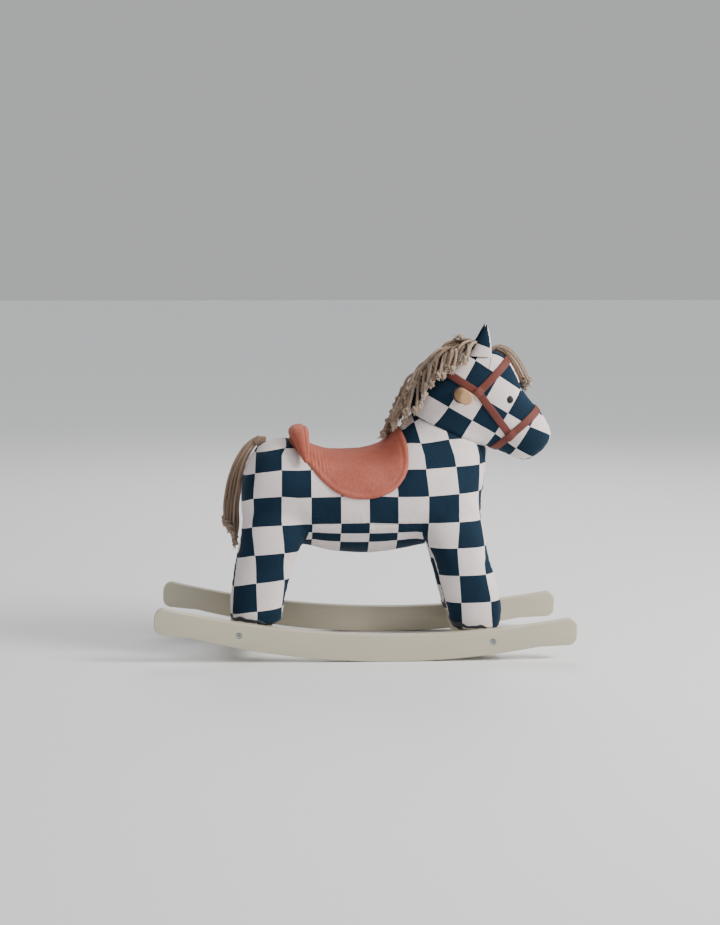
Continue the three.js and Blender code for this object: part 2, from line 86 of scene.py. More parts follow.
camera = bpy.data.objects.new("camera", bpy.data.cameras.new("camera"))
camera.location = (-0.15215, -3.0895, 0.6658)
camera.rotation_euler = (math.radians(90 - 6.326), 0, math.radians(-2.726))
camera.data.lens = 69.75
bpy.context.collection.objects.link(camera)
bpy.context.scene.camera = camera


LIGHTS_AIM = (0, 0, 0.25)


def area_light(name, place, size, power, color):
    lamp = bpy.data.objects.new(name, bpy.data.lights.new(name, "AREA"))
    lamp.data.shape = "DISK"
    lamp.data.size = size
    lamp.data.energy = power
    lamp.data.color = color
    lamp.location = place
    lamp.rotation_euler = (Vector(LIGHTS_AIM) - Vector(place)).to_track_quat("-Z", "Y").to_euler()
    bpy.context.collection.objects.link(lamp)


area_light("key", (2.7, -1.0, 1.9), 1.2, 135, (1.0, 0.97, 0.94))
area_light("fill", (-2.2, -2.4, 1.5), 2.2, 6, (0.94, 0.97, 1.0))
area_light("back", (0.4, 2.4, 2.2), 1.8, 34, (1.0, 0.95, 0.92))
sun = bpy.data.objects.new("even_light", bpy.data.lights.new("even_light", "SUN"))
sun.data.energy = 1.1
sun.data.angle = math.radians(50)
sun.rotation_euler = (math.radians(26), math.radians(34), math.radians(8))
bpy.context.collection.objects.link(sun)
world = bpy.data.worlds.new("studio")
world.use_nodes = True
world.node_tree.nodes["Background"].inputs[0].default_value = (0.86, 0.87, 0.88, 1)
world.node_tree.nodes["Background"].inputs[1].default_value = 0.54
bpy.context.scene.world = world

# ---------------------------------------------------------------- materials


class Finish:
    """A material's node tree, with short calls for the nodes that the finishes share."""

    def __init__(self, name, color, roughness, **settings):
        self.material = bpy.data.materials.new(name)
        self.material.use_nodes = True
        self.material.diffuse_color = (*color, 1)
        self.tree = self.material.node_tree
        self.shader = self.tree.nodes["Principled BSDF"]
        self.shader.inputs["Base Color"].default_value = (*color, 1)
        self.shader.inputs["Roughness"].default_value = roughness
        for socket, value in settings.items():
            self.shader.inputs[socket.replace("_", " ")].default_value = value
        self.space = self.tree.nodes.new("ShaderNodeTexCoord").outputs["Object"]

    def put(self, socket, value):
        if isinstance(value, bpy.types.NodeSocket):
            self.tree.links.new(value, socket)
        else:
            socket.default_value = value

    def math(self, operation, *values):
        node = self.tree.nodes.new("ShaderNodeMath")
        node.operation = operation
        for socket, value in zip(node.inputs, values):
            self.put(socket, value)
        return node.outputs[0]

    def noise(self, scale, detail=3.0, space=None, roughness=0.55):
        node = self.tree.nodes.new("ShaderNodeTexNoise")
        self.put(node.inputs["Vector"], space or self.space)
        node.inputs["Scale"].default_value = scale
        node.inputs["Detail"].default_value = detail
        node.inputs["Roughness"].default_value = roughness
        return node.outputs["Fac"]

    def stretched(self, scale):
        node = self.tree.nodes.new("ShaderNodeMapping")
        self.put(node.inputs["Vector"], self.space)
        node.inputs["Scale"].default_value = scale
        return node.outputs[0]

    def span(self, value, low, high, to_low=0.0, to_high=1.0):
        node = self.tree.nodes.new("ShaderNodeMapRange")
        for socket, v in zip(node.inputs, (value, low, high, to_low, to_high)):
            self.put(socket, v)
        return node.outputs[0]

    def mix(self, factor, a, b):
        node = self.tree.nodes.new("ShaderNodeMix")
        node.data_type = "RGBA"
        self.put(node.inputs["Factor"], factor)
        for socket, value in ((node.inputs["A"], a), (node.inputs["B"], b)):
            self.put(socket, value if isinstance(value, bpy.types.NodeSocket) else (*value, 1))
        return node.outputs["Result"]

    def vector_mix(self, factor, a, b):
        node = self.tree.nodes.new("ShaderNodeMix")
        node.data_type = "VECTOR"
        self.put(node.inputs["Factor"], factor)
        self.put(node.inputs["A"], a)
        self.put(node.inputs["B"], b)
        return node.outputs["Result"]

    def split(self, vector):
        node = self.tree.nodes.new("ShaderNodeSeparateXYZ")
        self.put(node.inputs[0], vector)
        return node.outputs[0], node.outputs[1], node.outputs[2]

    def attribute(self, name):
        node = self.tree.nodes.new("ShaderNodeAttribute")
        node.attribute_name = name
        return node.outputs["Vector"]

    def color(self, value):
        self.put(self.shader.inputs["Base Color"], value)

    def roughness(self, value):
        self.put(self.shader.inputs["Roughness"], value)

    def bump(self, height, distance, strength=1.0, under=None):
        node = self.tree.nodes.new("ShaderNodeBump")
        node.inputs["Strength"].default_value = strength
        node.inputs["Distance"].default_value = distance
        self.put(node.inputs["Height"], height)
        if under:
            self.put(node.inputs["Normal"], under)
        self.put(self.shader.inputs["Normal"], node.outputs[0])
        return node.outputs[0]


def checked_cotton():
    """Woven cotton printed in checks of navy and off-white, placed by numbers stored on the mesh."""
    f = Finish("checked_cotton", (0.6, 0.56, 0.56), 0.84, Specular_IOR_Level=0.15,
               Sheen_Weight=0.1, Sheen_Roughness=0.35)
    f.shader.inputs["Sheen Tint"].default_value = (0.78, 0.88, 1.0, 1)
    seam_x, centre_x, _ = f.split(f.attribute("seams"))
    on_side = f.math("GREATER_THAN", seam_x, 0.0)
    place = f.vector_mix(on_side, f.attribute("gusset_checks"), f.attribute("side_checks"))
    column, row, _ = f.split(place)
    ragged = f.noise(900, 1)
    edge = f.math("MULTIPLY", f.math("SUBTRACT", ragged, 0.5), 0.012)
    columns = f.math("FLOOR", f.math("ADD", column, edge))
    rows = f.math("FLOOR", f.math("ADD", row, edge))
    odd = f.math("PINGPONG", f.math("ADD", columns, rows), 1.0)
    faded = f.noise(24, 3)
    threads = 2 * math.pi * CHECK / THREAD_PITCH
    warp = f.math("SINE", f.math("MULTIPLY", column, threads))
    weft = f.math("SINE", f.math("MULTIPLY", row, threads))
    weave = f.math("MULTIPLY", warp, weft)
    slub = f.noise(420, 2)
    thread_tone = f.math("ADD", f.math("MULTIPLY", weave, 0.22), f.span(slub, 0.3, 0.7, -0.2, 0.2))
    tone = f.math("ADD", faded, thread_tone)
    navy = f.mix(f.span(tone, 0.1, 0.9), (0.0028, 0.012, 0.025), (0.0055, 0.024, 0.047))
    white = f.mix(f.span(tone, 0.1, 0.9), (0.64, 0.575, 0.56), (0.78, 0.705, 0.685))
    printed = f.mix(odd, navy, white)
    # painted shade: the print darkens to near black along the seams, standing in for the shade in their
    # grooves
    stitch_line = f.math("MINIMUM", f.math("ABSOLUTE", seam_x), f.math("ABSOLUTE", centre_x))
    painted_seam_shade = f.span(stitch_line, 0.2, 0.9, 0.5, 0.0)
    f.color(f.mix(painted_seam_shade, printed, (0.02, 0.024, 0.03)))
    height = f.math("ADD", f.math("MULTIPLY", weave, 0.25), f.math("MULTIPLY", slub, 0.5))
    fine = f.bump(height, 0.00022, 0.55)
    f.bump(f.noise(38, 4), 0.0016, 0.45, under=fine)
    return f.material


def suede():
    """Brushed suede: a mottled nap, with painted shade that darkens the seat's top."""
    f = Finish("saddle_suede", (0.50, 0.165, 0.11), 0.92, Specular_IOR_Level=0.2,
               Sheen_Weight=0.2, Sheen_Roughness=0.4)
    f.shader.inputs["Sheen Tint"].default_value = (1.0, 0.60, 0.50, 1)
    nap = f.noise(1, 5, f.stretched((430, 430, 110)), 0.7)
    blotch = f.noise(22, 5)
    color = f.mix(f.span(nap, 0.36, 0.66), (0.335, 0.085, 0.058), (0.455, 0.138, 0.098))
    color = f.mix(f.span(blotch, 0.42, 0.72, 0, 0.3), color, (0.50, 0.175, 0.13))
    _, _, height = f.split(f.space)
    painted_top_shade = f.span(height, 0.325, 0.342, 0.0, 0.42)  # painted shade on the seat's top
    color = f.mix(painted_top_shade, color, (0.30, 0.065, 0.036))
    # painted shade: darker along the cantle's seam groove
    crease, _, _ = f.split(f.attribute("edge"))
    f.color(f.mix(f.span(crease, 0.2, 1.0, 0.0, 0.8), color, (0.13, 0.03, 0.018)))
    f.roughness(f.span(nap, 0.2, 0.8, 0.80, 0.96))
    grain = f.bump(f.noise(1700, 3), 0.0003, 0.5)
    f.bump(f.math("ADD", nap, f.math("MULTIPLY", blotch, 0.3)), 0.0005, 0.4, under=grain)
    return f.material


def bridle_leather():
    """Grained leather with a dark bead and a paler cut edge along the straps."""
    f = Finish("bridle_leather", (0.30, 0.085, 0.06), 0.62, Specular_IOR_Level=0.35)
    worn = f.math("ADD", f.math("MULTIPLY", f.noise(45, 4), 0.6), f.math("MULTIPLY", f.noise(520, 3), 0.4))
    edge, _, _ = f.split(f.attribute("edge"))
    color = f.mix(worn, (0.07, 0.014, 0.010), (0.20, 0.05, 0.035))
    beading = f.mix(f.span(edge, 0.80, 0.93, 0.0, 0.75), color, (0.07, 0.014, 0.009))
    f.color(f.mix(f.span(edge, 0.93, 1.0, 0.0, 0.8), beading, (0.23, 0.075, 0.052)))
    f.roughness(f.span(worn, 0.3, 0.7, 0.52, 0.72))
    pores = f.tree.nodes.new("ShaderNodeTexVoronoi")
    f.put(pores.inputs["Vector"], f.space)
    pores.inputs["Scale"].default_value = 900
    f.bump(pores.outputs["Distance"], 0.0005, 0.7)
    return f.material


def cotton_cord():
    """Twisted cotton, with painted shade between the plies, paler at the knots and the frayed ends."""
    f = Finish("cotton_cord", (0.42, 0.31, 0.225), 0.92, Specular_IOR_Level=0.15,
               Sheen_Weight=0.25, Sheen_Roughness=0.5)
    ply, along, tone = f.split(f.attribute("ply"))
    strand = f.math("SINE", f.math("ADD", f.math("MULTIPLY", ply, 9.0), f.math("MULTIPLY", along, 1.9)))
    fluff = f.noise(1400, 3)
    color = f.mix(f.noise(45, 3), (0.215, 0.135, 0.088), (0.36, 0.245, 0.168))
    color = f.mix(f.span(tone, 0.2, 1.5, 0.0, 0.8), color, (0.74, 0.60, 0.48))
    # painted shade: darker where the plies meet
    f.color(f.mix(f.span(strand, -1, 1, 0.55, 0.0), color, (0.10, 0.055, 0.03)))
    fuzz = f.bump(fluff, 0.0004, 0.6)
    f.bump(strand, 0.0003, 0.6, under=fuzz)
    return f.material


def wood(name, dark, light, ring_pitch, roughness):
    """Growth rings round a pith that runs across the horse, cut by whatever face shows, with fine pores."""
    f = Finish(name, light, roughness)
    wander = f.noise(9, 3)
    x, _, z = f.split(f.space)
    pith = f.math("SQRT", f.math("ADD", f.math("POWER", f.math("ADD", x, 0.021), 2.0),
                                 f.math("POWER", f.math("ADD", z, 0.017), 2.0)))
    rings = f.math("SINE", f.math("ADD", f.math("MULTIPLY", pith, 2 * math.pi / ring_pitch),
                                  f.math("MULTIPLY", wander, 7.0)))
    pores = f.noise(1, 3, f.stretched((500, 500, 500)))
    shade = f.math("ADD", f.span(rings, -1, 1, 0, 0.75), f.span(pores, 0.4, 0.7, 0, 0.3))
    f.color(f.mix(shade, light, dark))
    f.roughness(f.span(pores, 0.3, 0.7, roughness - 0.08, roughness + 0.12))
    f.bump(f.math("ADD", f.math("MULTIPLY", rings, 0.3), pores), 0.0002, 0.35)
    return f.material


def rocker_paint():
    """Satin paint on smooth board, with faint paler brush marks along the board."""
    f = Finish("rocker_paint", (0.60, 0.56, 0.46), 0.46, Coat_Weight=0.12, Coat_Roughness=0.35)
    brush = f.noise(1, 4, f.stretched((12, 90, 260)))
    clouds = f.noise(7, 3)
    color = f.mix(clouds, (0.46, 0.42, 0.315), (0.52, 0.475, 0.36))
    f.color(f.mix(f.span(brush, 0.45, 0.7, 0, 0.25), color, (0.61, 0.555, 0.435)))
    f.roughness(f.span(brush, 0.3, 0.7, 0.38, 0.55))
    f.bump(brush, 0.00022, 0.35)
    return f.material


def zinc():
    f = Finish("zinc_hardware", (0.62, 0.64, 0.66), 0.34, Metallic=1.0)
    spangle = f.noise(700, 4)
    f.color(f.mix(spangle, (0.30, 0.34, 0.37), (0.52, 0.56, 0.59)))
    f.roughness(f.span(spangle, 0.3, 0.7, 0.26, 0.46))
    f.bump(spangle, 0.0001, 0.3)
    return f.material


def eye_black():
    f = Finish("eye_black", (0.012, 0.013, 0.016), 0.6, Specular_IOR_Level=0.3)
    fine = f.noise(1800, 2)
    f.color(f.mix(fine, (0.006, 0.007, 0.009), (0.016, 0.017, 0.02)))
    f.roughness(f.span(fine, 0.3, 0.7, 0.5, 0.68))
    f.bump(fine, 0.0001, 0.35)
    return f.material


def sole_felt():
    f = Finish("sole_felt", (0.012, 0.014, 0.02), 0.95, Sheen_Weight=0.3)
    felt = f.noise(900, 4)
    f.color(f.mix(felt, (0.006, 0.008, 0.012), (0.03, 0.034, 0.044)))
    f.bump(felt, 0.0006, 0.7)
    return f.material


def thread(name, dark, light):
    f = Finish(name, light, 0.7, Sheen_Weight=0.2)
    twist = f.noise(2600, 2)
    f.color(f.mix(twist, dark, light))
    f.bump(twist, 0.0002, 0.6)
    return f.material


FINISH = {
    "checked_cotton": checked_cotton(),
    "saddle_suede": suede(),
    "bridle_leather": bridle_leather(),
    "cotton_cord": cotton_cord(),
    "rocker_paint": rocker_paint(),
    "beech": wood("beech", (0.39, 0.21, 0.09), (0.56, 0.35, 0.18), 0.0021, 0.5),
    "frame_pine": wood("frame_pine", (0.50, 0.31, 0.15), (0.72, 0.55, 0.33), 0.0042, 0.62),
    "zinc_hardware": zinc(),
    "eye_black": eye_black(),
}
SOLE = sole_felt()
DARK_THREAD = thread("dark_thread", (0.05, 0.014, 0.01), (0.12, 0.04, 0.03))
PALE_THREAD = thread("pale_thread", (0.26, 0.07, 0.045), (0.46, 0.16, 0.11))
NAVY_THREAD = thread("navy_thread", (0.003, 0.010, 0.018), (0.008, 0.026, 0.045))

# ---------------------------------------------------------------- mesh helpers


def grid_faces(rows, columns, closed=True):
    """Faces of a grid of rows x columns points, its columns joined round if closed."""
    r, c = np.meshgrid(np.arange(rows - 1), np.arange(columns if closed else columns - 1), indexing="ij")
    r, c = r.ravel(), c.ravel()
    n = (c + 1) % columns
    faces = np.stack([r * columns + c, r * columns + n, (r + 1) * columns + n, (r + 1) * columns + c], axis=1)
    return [tuple(f) for f in faces]


def capped_faces(rows, columns):
    """Faces of a closed form: rings joined by a grid, with a cap on the first ring and on the last."""
    last = rows * columns - 1
    return grid_faces(rows, columns) + [tuple(range(columns)), tuple(range(last, last - columns, -1))]


def round_angles(count):
    return np.arange(count) / count * 2 * math.pi


def distances(path):
    """Length along a path up to each of its points."""
    return np.concatenate([[0], np.cumsum(np.linalg.norm(np.diff(path, axis=0), axis=1))])


def ramp(value, start, width, top=1):
    """0 up to start, then rising evenly by 1 for each width, no higher than top."""
    return np.clip((value - start) / width, 0, top)


def with_zero(first, second):
    """Two columns of numbers and a third of zeros, as store() takes them."""
    return np.stack([first, second, np.zeros(len(first))], axis=1)


class Shape:
    """Points and faces gathered from several parts, with values stored on the points."""

    def __init__(self):
        self.points, self.faces, self.values, self.count = [], [], [], 0

    def add(self, points, faces, values=None):
        points = np.asarray(points, float)
        self.faces += [tuple(int(i) + self.count for i in f) for f in faces]
        self.points.append(points)
        self.values.append(np.zeros((len(points), 3)) if values is None else values)
        self.count += len(points)
        return self

    def mesh(self, name):
        return mesh_of(name, np.vstack(self.points), self.faces)


def mesh_of(name, points, faces):
    """A mesh of points in the level frame, in millimetres, placed in the row frame."""
    mesh = bpy.data.meshes.new(name)
    mesh.from_pydata([tuple(p) for p in level_to_row(points)], [], [tuple(int(i) for i in f) for f in faces])
    mesh.validate()
    mesh.update()
    return mesh


def store(mesh, name, values):
    """Keeps three numbers on every point of a mesh, for its material."""
    layer = mesh.attributes.new(name, "FLOAT_VECTOR", "POINT")
    layer.data.foreach_set("vector", np.asarray(values, np.float32).ravel())


def store_edge(mesh, values):
    """Keeps one number on every point, which the suede and the leather read as their seam or edge."""
    store(mesh, "edge", with_zero(values, np.zeros(len(values))))


def piece(name, mesh, finish, body="horse", replaces=()):
    """A mesh as a named piece that rides on a body, may stand for CAD nodes, and fills a material slot."""
    obj = bpy.data.objects.new(name, mesh)
    bpy.context.collection.objects.link(obj)
    mesh.materials.append(FINISH[finish] if isinstance(finish, str) else finish)
    mesh.polygons.foreach_set("use_smooth", [True] * len(mesh.polygons))
    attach(obj, body)
    if replaces:
        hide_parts(*replaces)
    return obj


def face_out(mesh):
    """Turns the faces of a closed mesh outwards."""
    bm = bmesh.new()
    bm.from_mesh(mesh)
    bmesh.ops.recalc_face_normals(bm, faces=bm.faces)
    bm.to_mesh(mesh)
    bm.free()
    return mesh


def applied(obj):
    """The object's mesh with its modifiers applied, in place of its own mesh."""
    graph = bpy.context.evaluated_depsgraph_get()
    made = bpy.data.meshes.new_from_object(obj.evaluated_get(graph))
    obj.modifiers.clear()
    obj.data = made
    return made


def coordinates(mesh):
    flat = np.zeros(len(mesh.vertices) * 3, np.float32)
    mesh.vertices.foreach_get("co", flat)
    return flat.reshape(-1, 3).astype(float)


def set_coordinates(mesh, points):
    mesh.vertices.foreach_set("co", np.asarray(points, np.float32).ravel())
    mesh.update()


def normals(mesh):
    flat = np.zeros(len(mesh.vertices) * 3, np.float32)
    mesh.vertex_normals.foreach_get("vector", flat)
    return flat.reshape(-1, 3).astype(float)


def pushed_out(mesh, distance):
    """Moves every point of a mesh out along its normal, by millimetres."""
    set_coordinates(mesh, coordinates(mesh) + normals(mesh) * (distance[:, None] / 1000))


def tree_of(*meshes):
    """A search tree over meshes, in the level frame."""
    points, faces, count = [], [], 0
    for mesh in meshes:
        level = row_to_level(coordinates(mesh))
        points += [Vector(p) for p in level]
        faces += [[i + count for i in p.vertices] for p in mesh.polygons]
        count += len(level)
    return BVHTree.FromPolygons(points, faces)


def catmull(values, count):
    """A smooth curve through rows of numbers, at count even steps."""
    p = np.asarray(values, float)
    p = np.vstack([2 * p[0] - p[1], p, 2 * p[-1] - p[-2]])
    t = np.linspace(0, len(p) - 3, count)
    i = np.minimum(t.astype(int), len(p) - 4)
    f = (t - i)[:, None]
    a, b, c, d = p[i], p[i + 1], p[i + 2], p[i + 3]
    return 0.5 * (2 * b + (c - a) * f + (2 * a - 5 * b + 4 * c - d) * f**2 + (3 * b - a - 3 * c + d) * f**3)


def swollen(value):
    """A cosine or sine, drawn towards the corners of a square as the torso's sections are."""
    return np.sign(value) * np.abs(value) ** (2 / TORSO_POWER)


def loft(stations, rings, sides):
    """A closed form through stations [upper u, upper v, lower u, lower v, half width, centre y]."""
    rows = catmull([list(s) + [0] * (6 - len(s)) for s in stations], rings)
    angle = round_angles(sides)
    along, across = swollen(np.cos(angle)), swollen(np.sin(angle))
    points = np.stack([
        (rows[:, 0:1] + rows[:, 2:3]) / 2 + (rows[:, 0:1] - rows[:, 2:3]) / 2 * along,
        rows[:, 5:6] + rows[:, 4:5] * across,
        (rows[:, 1:2] + rows[:, 3:4]) / 2 + (rows[:, 1:2] - rows[:, 3:4]) / 2 * along,
    ], axis=2).reshape(-1, 3)
    return points, capped_faces(rings, sides)


# ---------------------------------------------------------------- stuffed forms

TORSO = [
    [-221, 278, -221, 264, 10], [-219, 292, -219, 250, 38], [-214, 312, -217, 228, 62],
    [-200, 338, -208, 204, 80], [-179, 356, -180, 188, 90], [-145, 363, -140, 180, 94],
    [-112, 352, -100, 175, 95], [-76, 341, -70, 168, 95], [-35, 341, -30, 164.5, 95], [-5, 346, 10, 165, 94],
    [20, 355, 55, 172, 93], [38, 370, 100, 182, 92], [50, 386, 152, 195, 88], [60, 398, 195, 224, 80],
    [66, 404, 202, 280, 70], [70, 408, 206, 320, 62], [71, 410, 206, 354, 54], [80, 412, 195, 362, 42],
]
HEAD = [
    [80, 404, 190, 352, 42], [70.5, 411.5, 200, 358.6, 55], [72, 440, 206.5, 358.5, 57.5],
    [92, 478, 212, 356.5, 59.5], [122, 507, 217, 354.5, 60.5], [158, 523.5, 222, 352.5, 60.5],
    [197.5, 528.5, 228, 350, 59.5], [229.5, 518.5, 235, 347, 56.5], [249, 493.5, 243, 343.5, 53.5],
    [262.5, 462.5, 251, 340, 50.5], [281.5, 437.5, 260, 336.3, 47.5], [300, 418.5, 270, 334.3, 43.5],
    [311.5, 401.5, 283, 337, 38], [317.5, 387, 295, 345.5, 30], [318, 377, 306, 355.5, 17],
]
REAR_LEG = [
    [-222, 52, -150, 52, 32, 77], [-230.5, 58, -142, 58, 37, 76.8], [-233.5, 82, -138, 82, 38, 76],
    [-230.5, 116, -132, 116, 38, 75], [-225, 150, -124, 150, 38, 72], [-219, 182, -112, 182, 40, 67],
    [-216.5, 215, -102, 215, 42, 58], [-211, 244, -97, 244, 40, 50],
]
FRONT_LEG = [
    [152, 52, 224, 52, 32, 77], [145, 58, 232, 58, 37, 76.8], [138, 84, 235, 84, 38, 76],
    [128, 114, 230, 114, 38, 75], [118, 150, 218, 150, 38, 72], [107, 180, 209, 180, 40, 67],
    [92, 210, 203, 210, 42, 58], [84, 240, 197, 240, 40, 50],
    [86, 266, 192, 266, 34, 44],
]
FOOT_BOTTOM = 52.0


def leg_centre_y(v):
    return np.interp(v, [62, 88, 116, 150, 182, 215, 240], [77, 76, 75, 72, 67, 58, 52])


def stuffed_form(name, lofts, voxel, rounds):
    """One skin round overlapping lofts: voxels of that size, then smoothed."""
    shape = Shape()
    for points, faces in lofts:
        shape.add(points, faces)
    obj = bpy.data.objects.new(name, face_out(shape.mesh(name)))
    bpy.context.collection.objects.link(obj)
    remesh = obj.modifiers.new("remesh", "REMESH")
    remesh.mode = "VOXEL"
    remesh.voxel_size = voxel / 1000
    smooth = obj.modifiers.new("smooth", "SMOOTH")
    smooth.factor = 0.5
    smooth.iterations = rounds
    applied(obj)
    return obj


CLOTH = dict(quality=5, mass=0.25, tension_stiffness=18, compression_stiffness=12, shear_stiffness=6,
             bending_stiffness=0.4, use_pressure=True, uniform_pressure_force=4.0)
SLACK = 2.5  # how far in the cloth starts, in millimetres
SIM_STEPS = 20


def inflate(obj, pinned, cap):
    """Lets the stuffing press the cloth outwards, held where pinned is 1; no point moves further than cap."""
    mesh = obj.data
    nominal = coordinates(mesh)
    slack = nominal - normals(mesh) * SLACK / 1000 * (1 - pinned[:, None])
    set_coordinates(mesh, slack)
    group = obj.vertex_groups.new(name="held")
    for i in np.nonzero(pinned > 0.02)[0]:
        group.add([int(i)], float(pinned[i]), "REPLACE")
    cloth = obj.modifiers.new("cloth", "CLOTH")
    for setting, value in CLOTH.items():
        setattr(cloth.settings, setting, value)
    cloth.settings.effector_weights.gravity = 0
    cloth.settings.vertex_group_mass = "held"
    cloth.collision_settings.use_collision = False
    cloth.collision_settings.use_self_collision = False
    cloth.point_cache.frame_start = 1
    cloth.point_cache.frame_end = SIM_STEPS
    scene = bpy.context.scene
    for step in range(1, SIM_STEPS + 1):
        scene.frame_set(step)
    graph = bpy.context.evaluated_depsgraph_get()
    evaluated = obj.evaluated_get(graph).to_mesh()
    pressed = coordinates(evaluated)
    obj.evaluated_get(graph).to_mesh_clear()
    obj.modifiers.clear()
    obj.vertex_groups.clear()
    scene.frame_set(1)
    moved = pressed - nominal
    reach = np.linalg.norm(moved, axis=1)
    limit = cap / 1000
    share = np.where(reach > 1e-9, limit * np.tanh(reach / limit) / np.maximum(reach, 1e-9), 1.0)
    set_coordinates(mesh, nominal + moved * share[:, None])


def subdivided(obj):
    modifier = obj.modifiers.new("subdivision", "SUBSURF")
    modifier.levels = modifier.render_levels = 1
    applied(obj)


def soft_noise(points, scale, seed):
    """Smooth noise from -1 to 1 at points, made of a few slanting waves."""
    waves = np.random.default_rng(seed)
    total = np.zeros(len(points))
    for _ in range(9):
        direction = waves.normal(size=3)
        direction /= np.linalg.norm(direction)
        total += np.sin(points @ direction * 2 * math.pi / (scale * waves.uniform(0.6, 1.7))
                        + waves.uniform(0, 2 * math.pi))
    return total / 5


# Arc length along a quarter of a unit superellipse, by its angle.
ARC_ANGLES = np.linspace(0, math.pi / 2, 400)
ARC_LENGTHS = distances(np.stack([swollen(np.sin(ARC_ANGLES)), swollen(np.cos(ARC_ANGLES))], axis=1))


def wrapped(offset, side, half_offset, half_side):
    """Arc length round a superellipse, from its side (offset 0) to a point, signed like offset."""
    a = (np.abs(offset) / half_offset) ** (TORSO_POWER / 2)
    b = (np.maximum(side, 0) / half_side) ** (TORSO_POWER / 2)
    unit = np.interp(np.arctan2(a, np.maximum(b, 1e-9)), ARC_ANGLES, ARC_LENGTHS)
    corner = ARC_LENGTHS[len(ARC_LENGTHS) // 2]
    length = np.minimum(unit, corner) * half_offset + np.maximum(unit - corner, 0) * half_side
    return np.sign(offset) * length


REAR_EDGE = ([58, 88, 116, 150, 182, 240, 285, 312, 338, 356, 363],
             [-222, -234, -231, -225.5, -219.7, -220, -222, -218, -213, -207, -200])
FRONT_EDGE = ([58, 90, 114, 150, 180, 210, 240, 280, 320, 356],
              [222, 233, 228, 215, 204, 195.5, 196, 198, 201, 202])
REAR_LEG_INNER = ([58, 88, 116, 150, 182, 215, 228], [-150, -138, -132, -124, -112, -102, -97])
FRONT_LEG_INNER = ([58, 90, 114, 150, 180, 210, 228], [149, 136, 127, 117, 106, 96, 94])


BARREL_HALF = 94  # half of the barrel's width


def superellipse_y(offset, half_offset, half_side):
    """How far out a superellipse lies at an offset from its middle."""
    return half_side * np.maximum(1 - (np.abs(offset) / half_offset) ** TORSO_POWER, 0) ** (1 / TORSO_POWER)


def leg_share(v):
    """1 on the legs, 0 on the barrel."""
    return ramp(-v, -225, 60)


def end_middle(u, v):
    """The middle of the leg, or of the barrel's half, and how far past it points lie, towards the end."""
    leg = leg_share(v)
    middle_rear = -147 * (1 - leg) + np.interp(v, [62, 116, 182], [-185, -181, -165]) * leg
    middle_front = 150 * (1 - leg) + np.interp(v, [62, 116, 180], [184, 177, 155]) * leg
    middle = np.where(u < 0, middle_rear, middle_front)
    return middle, (u - middle) * np.where(u < 0, -1, 1)


def length_along(u, y, v):
    """Length along the side's cloth, round the horse's ends and round the legs."""
    leg, rear = leg_share(v), u < 0
    middle, offset = end_middle(u, v)
    outer = np.where(rear, middle - np.interp(v, *REAR_EDGE), np.interp(v, *FRONT_EDGE) - middle)
    inner = np.where(rear, np.interp(v, *REAR_LEG_INNER) - middle, middle - np.interp(v, *FRONT_LEG_INNER))
    half_side = BARREL_HALF * (1 - leg) + 38.5 * leg
    reach = np.maximum(np.where(offset > 0, outer, inner), 12)
    panel_y = superellipse_y(offset, reach, half_side)
    from_leg = y - leg_centre_y(v) * leg
    bent = wrapped(offset, np.where(v > 250, np.maximum(from_leg, panel_y), from_leg), reach, half_side)
    straight = (offset < 0) & (leg < 1)
    bent = np.where(straight, offset * (1 - leg) + bent * leg, bent)
    return middle + bent * np.where(rear, -1, 1)


def length_up(u, y, v):
    """Length up the side's cloth, round the barrel's top but straight up the neck."""
    level, half_height = 268.0, 93.0
    barrel_y = superellipse_y(v - level, half_height, BARREL_HALF)
    round_up = wrapped(v - level, np.maximum(y, barrel_y), half_height, BARREL_HALF)
    neck = ramp(u, 25, 50)
    return np.where(v > level, level + round_up * (1 - neck) + (v - level) * neck, v)


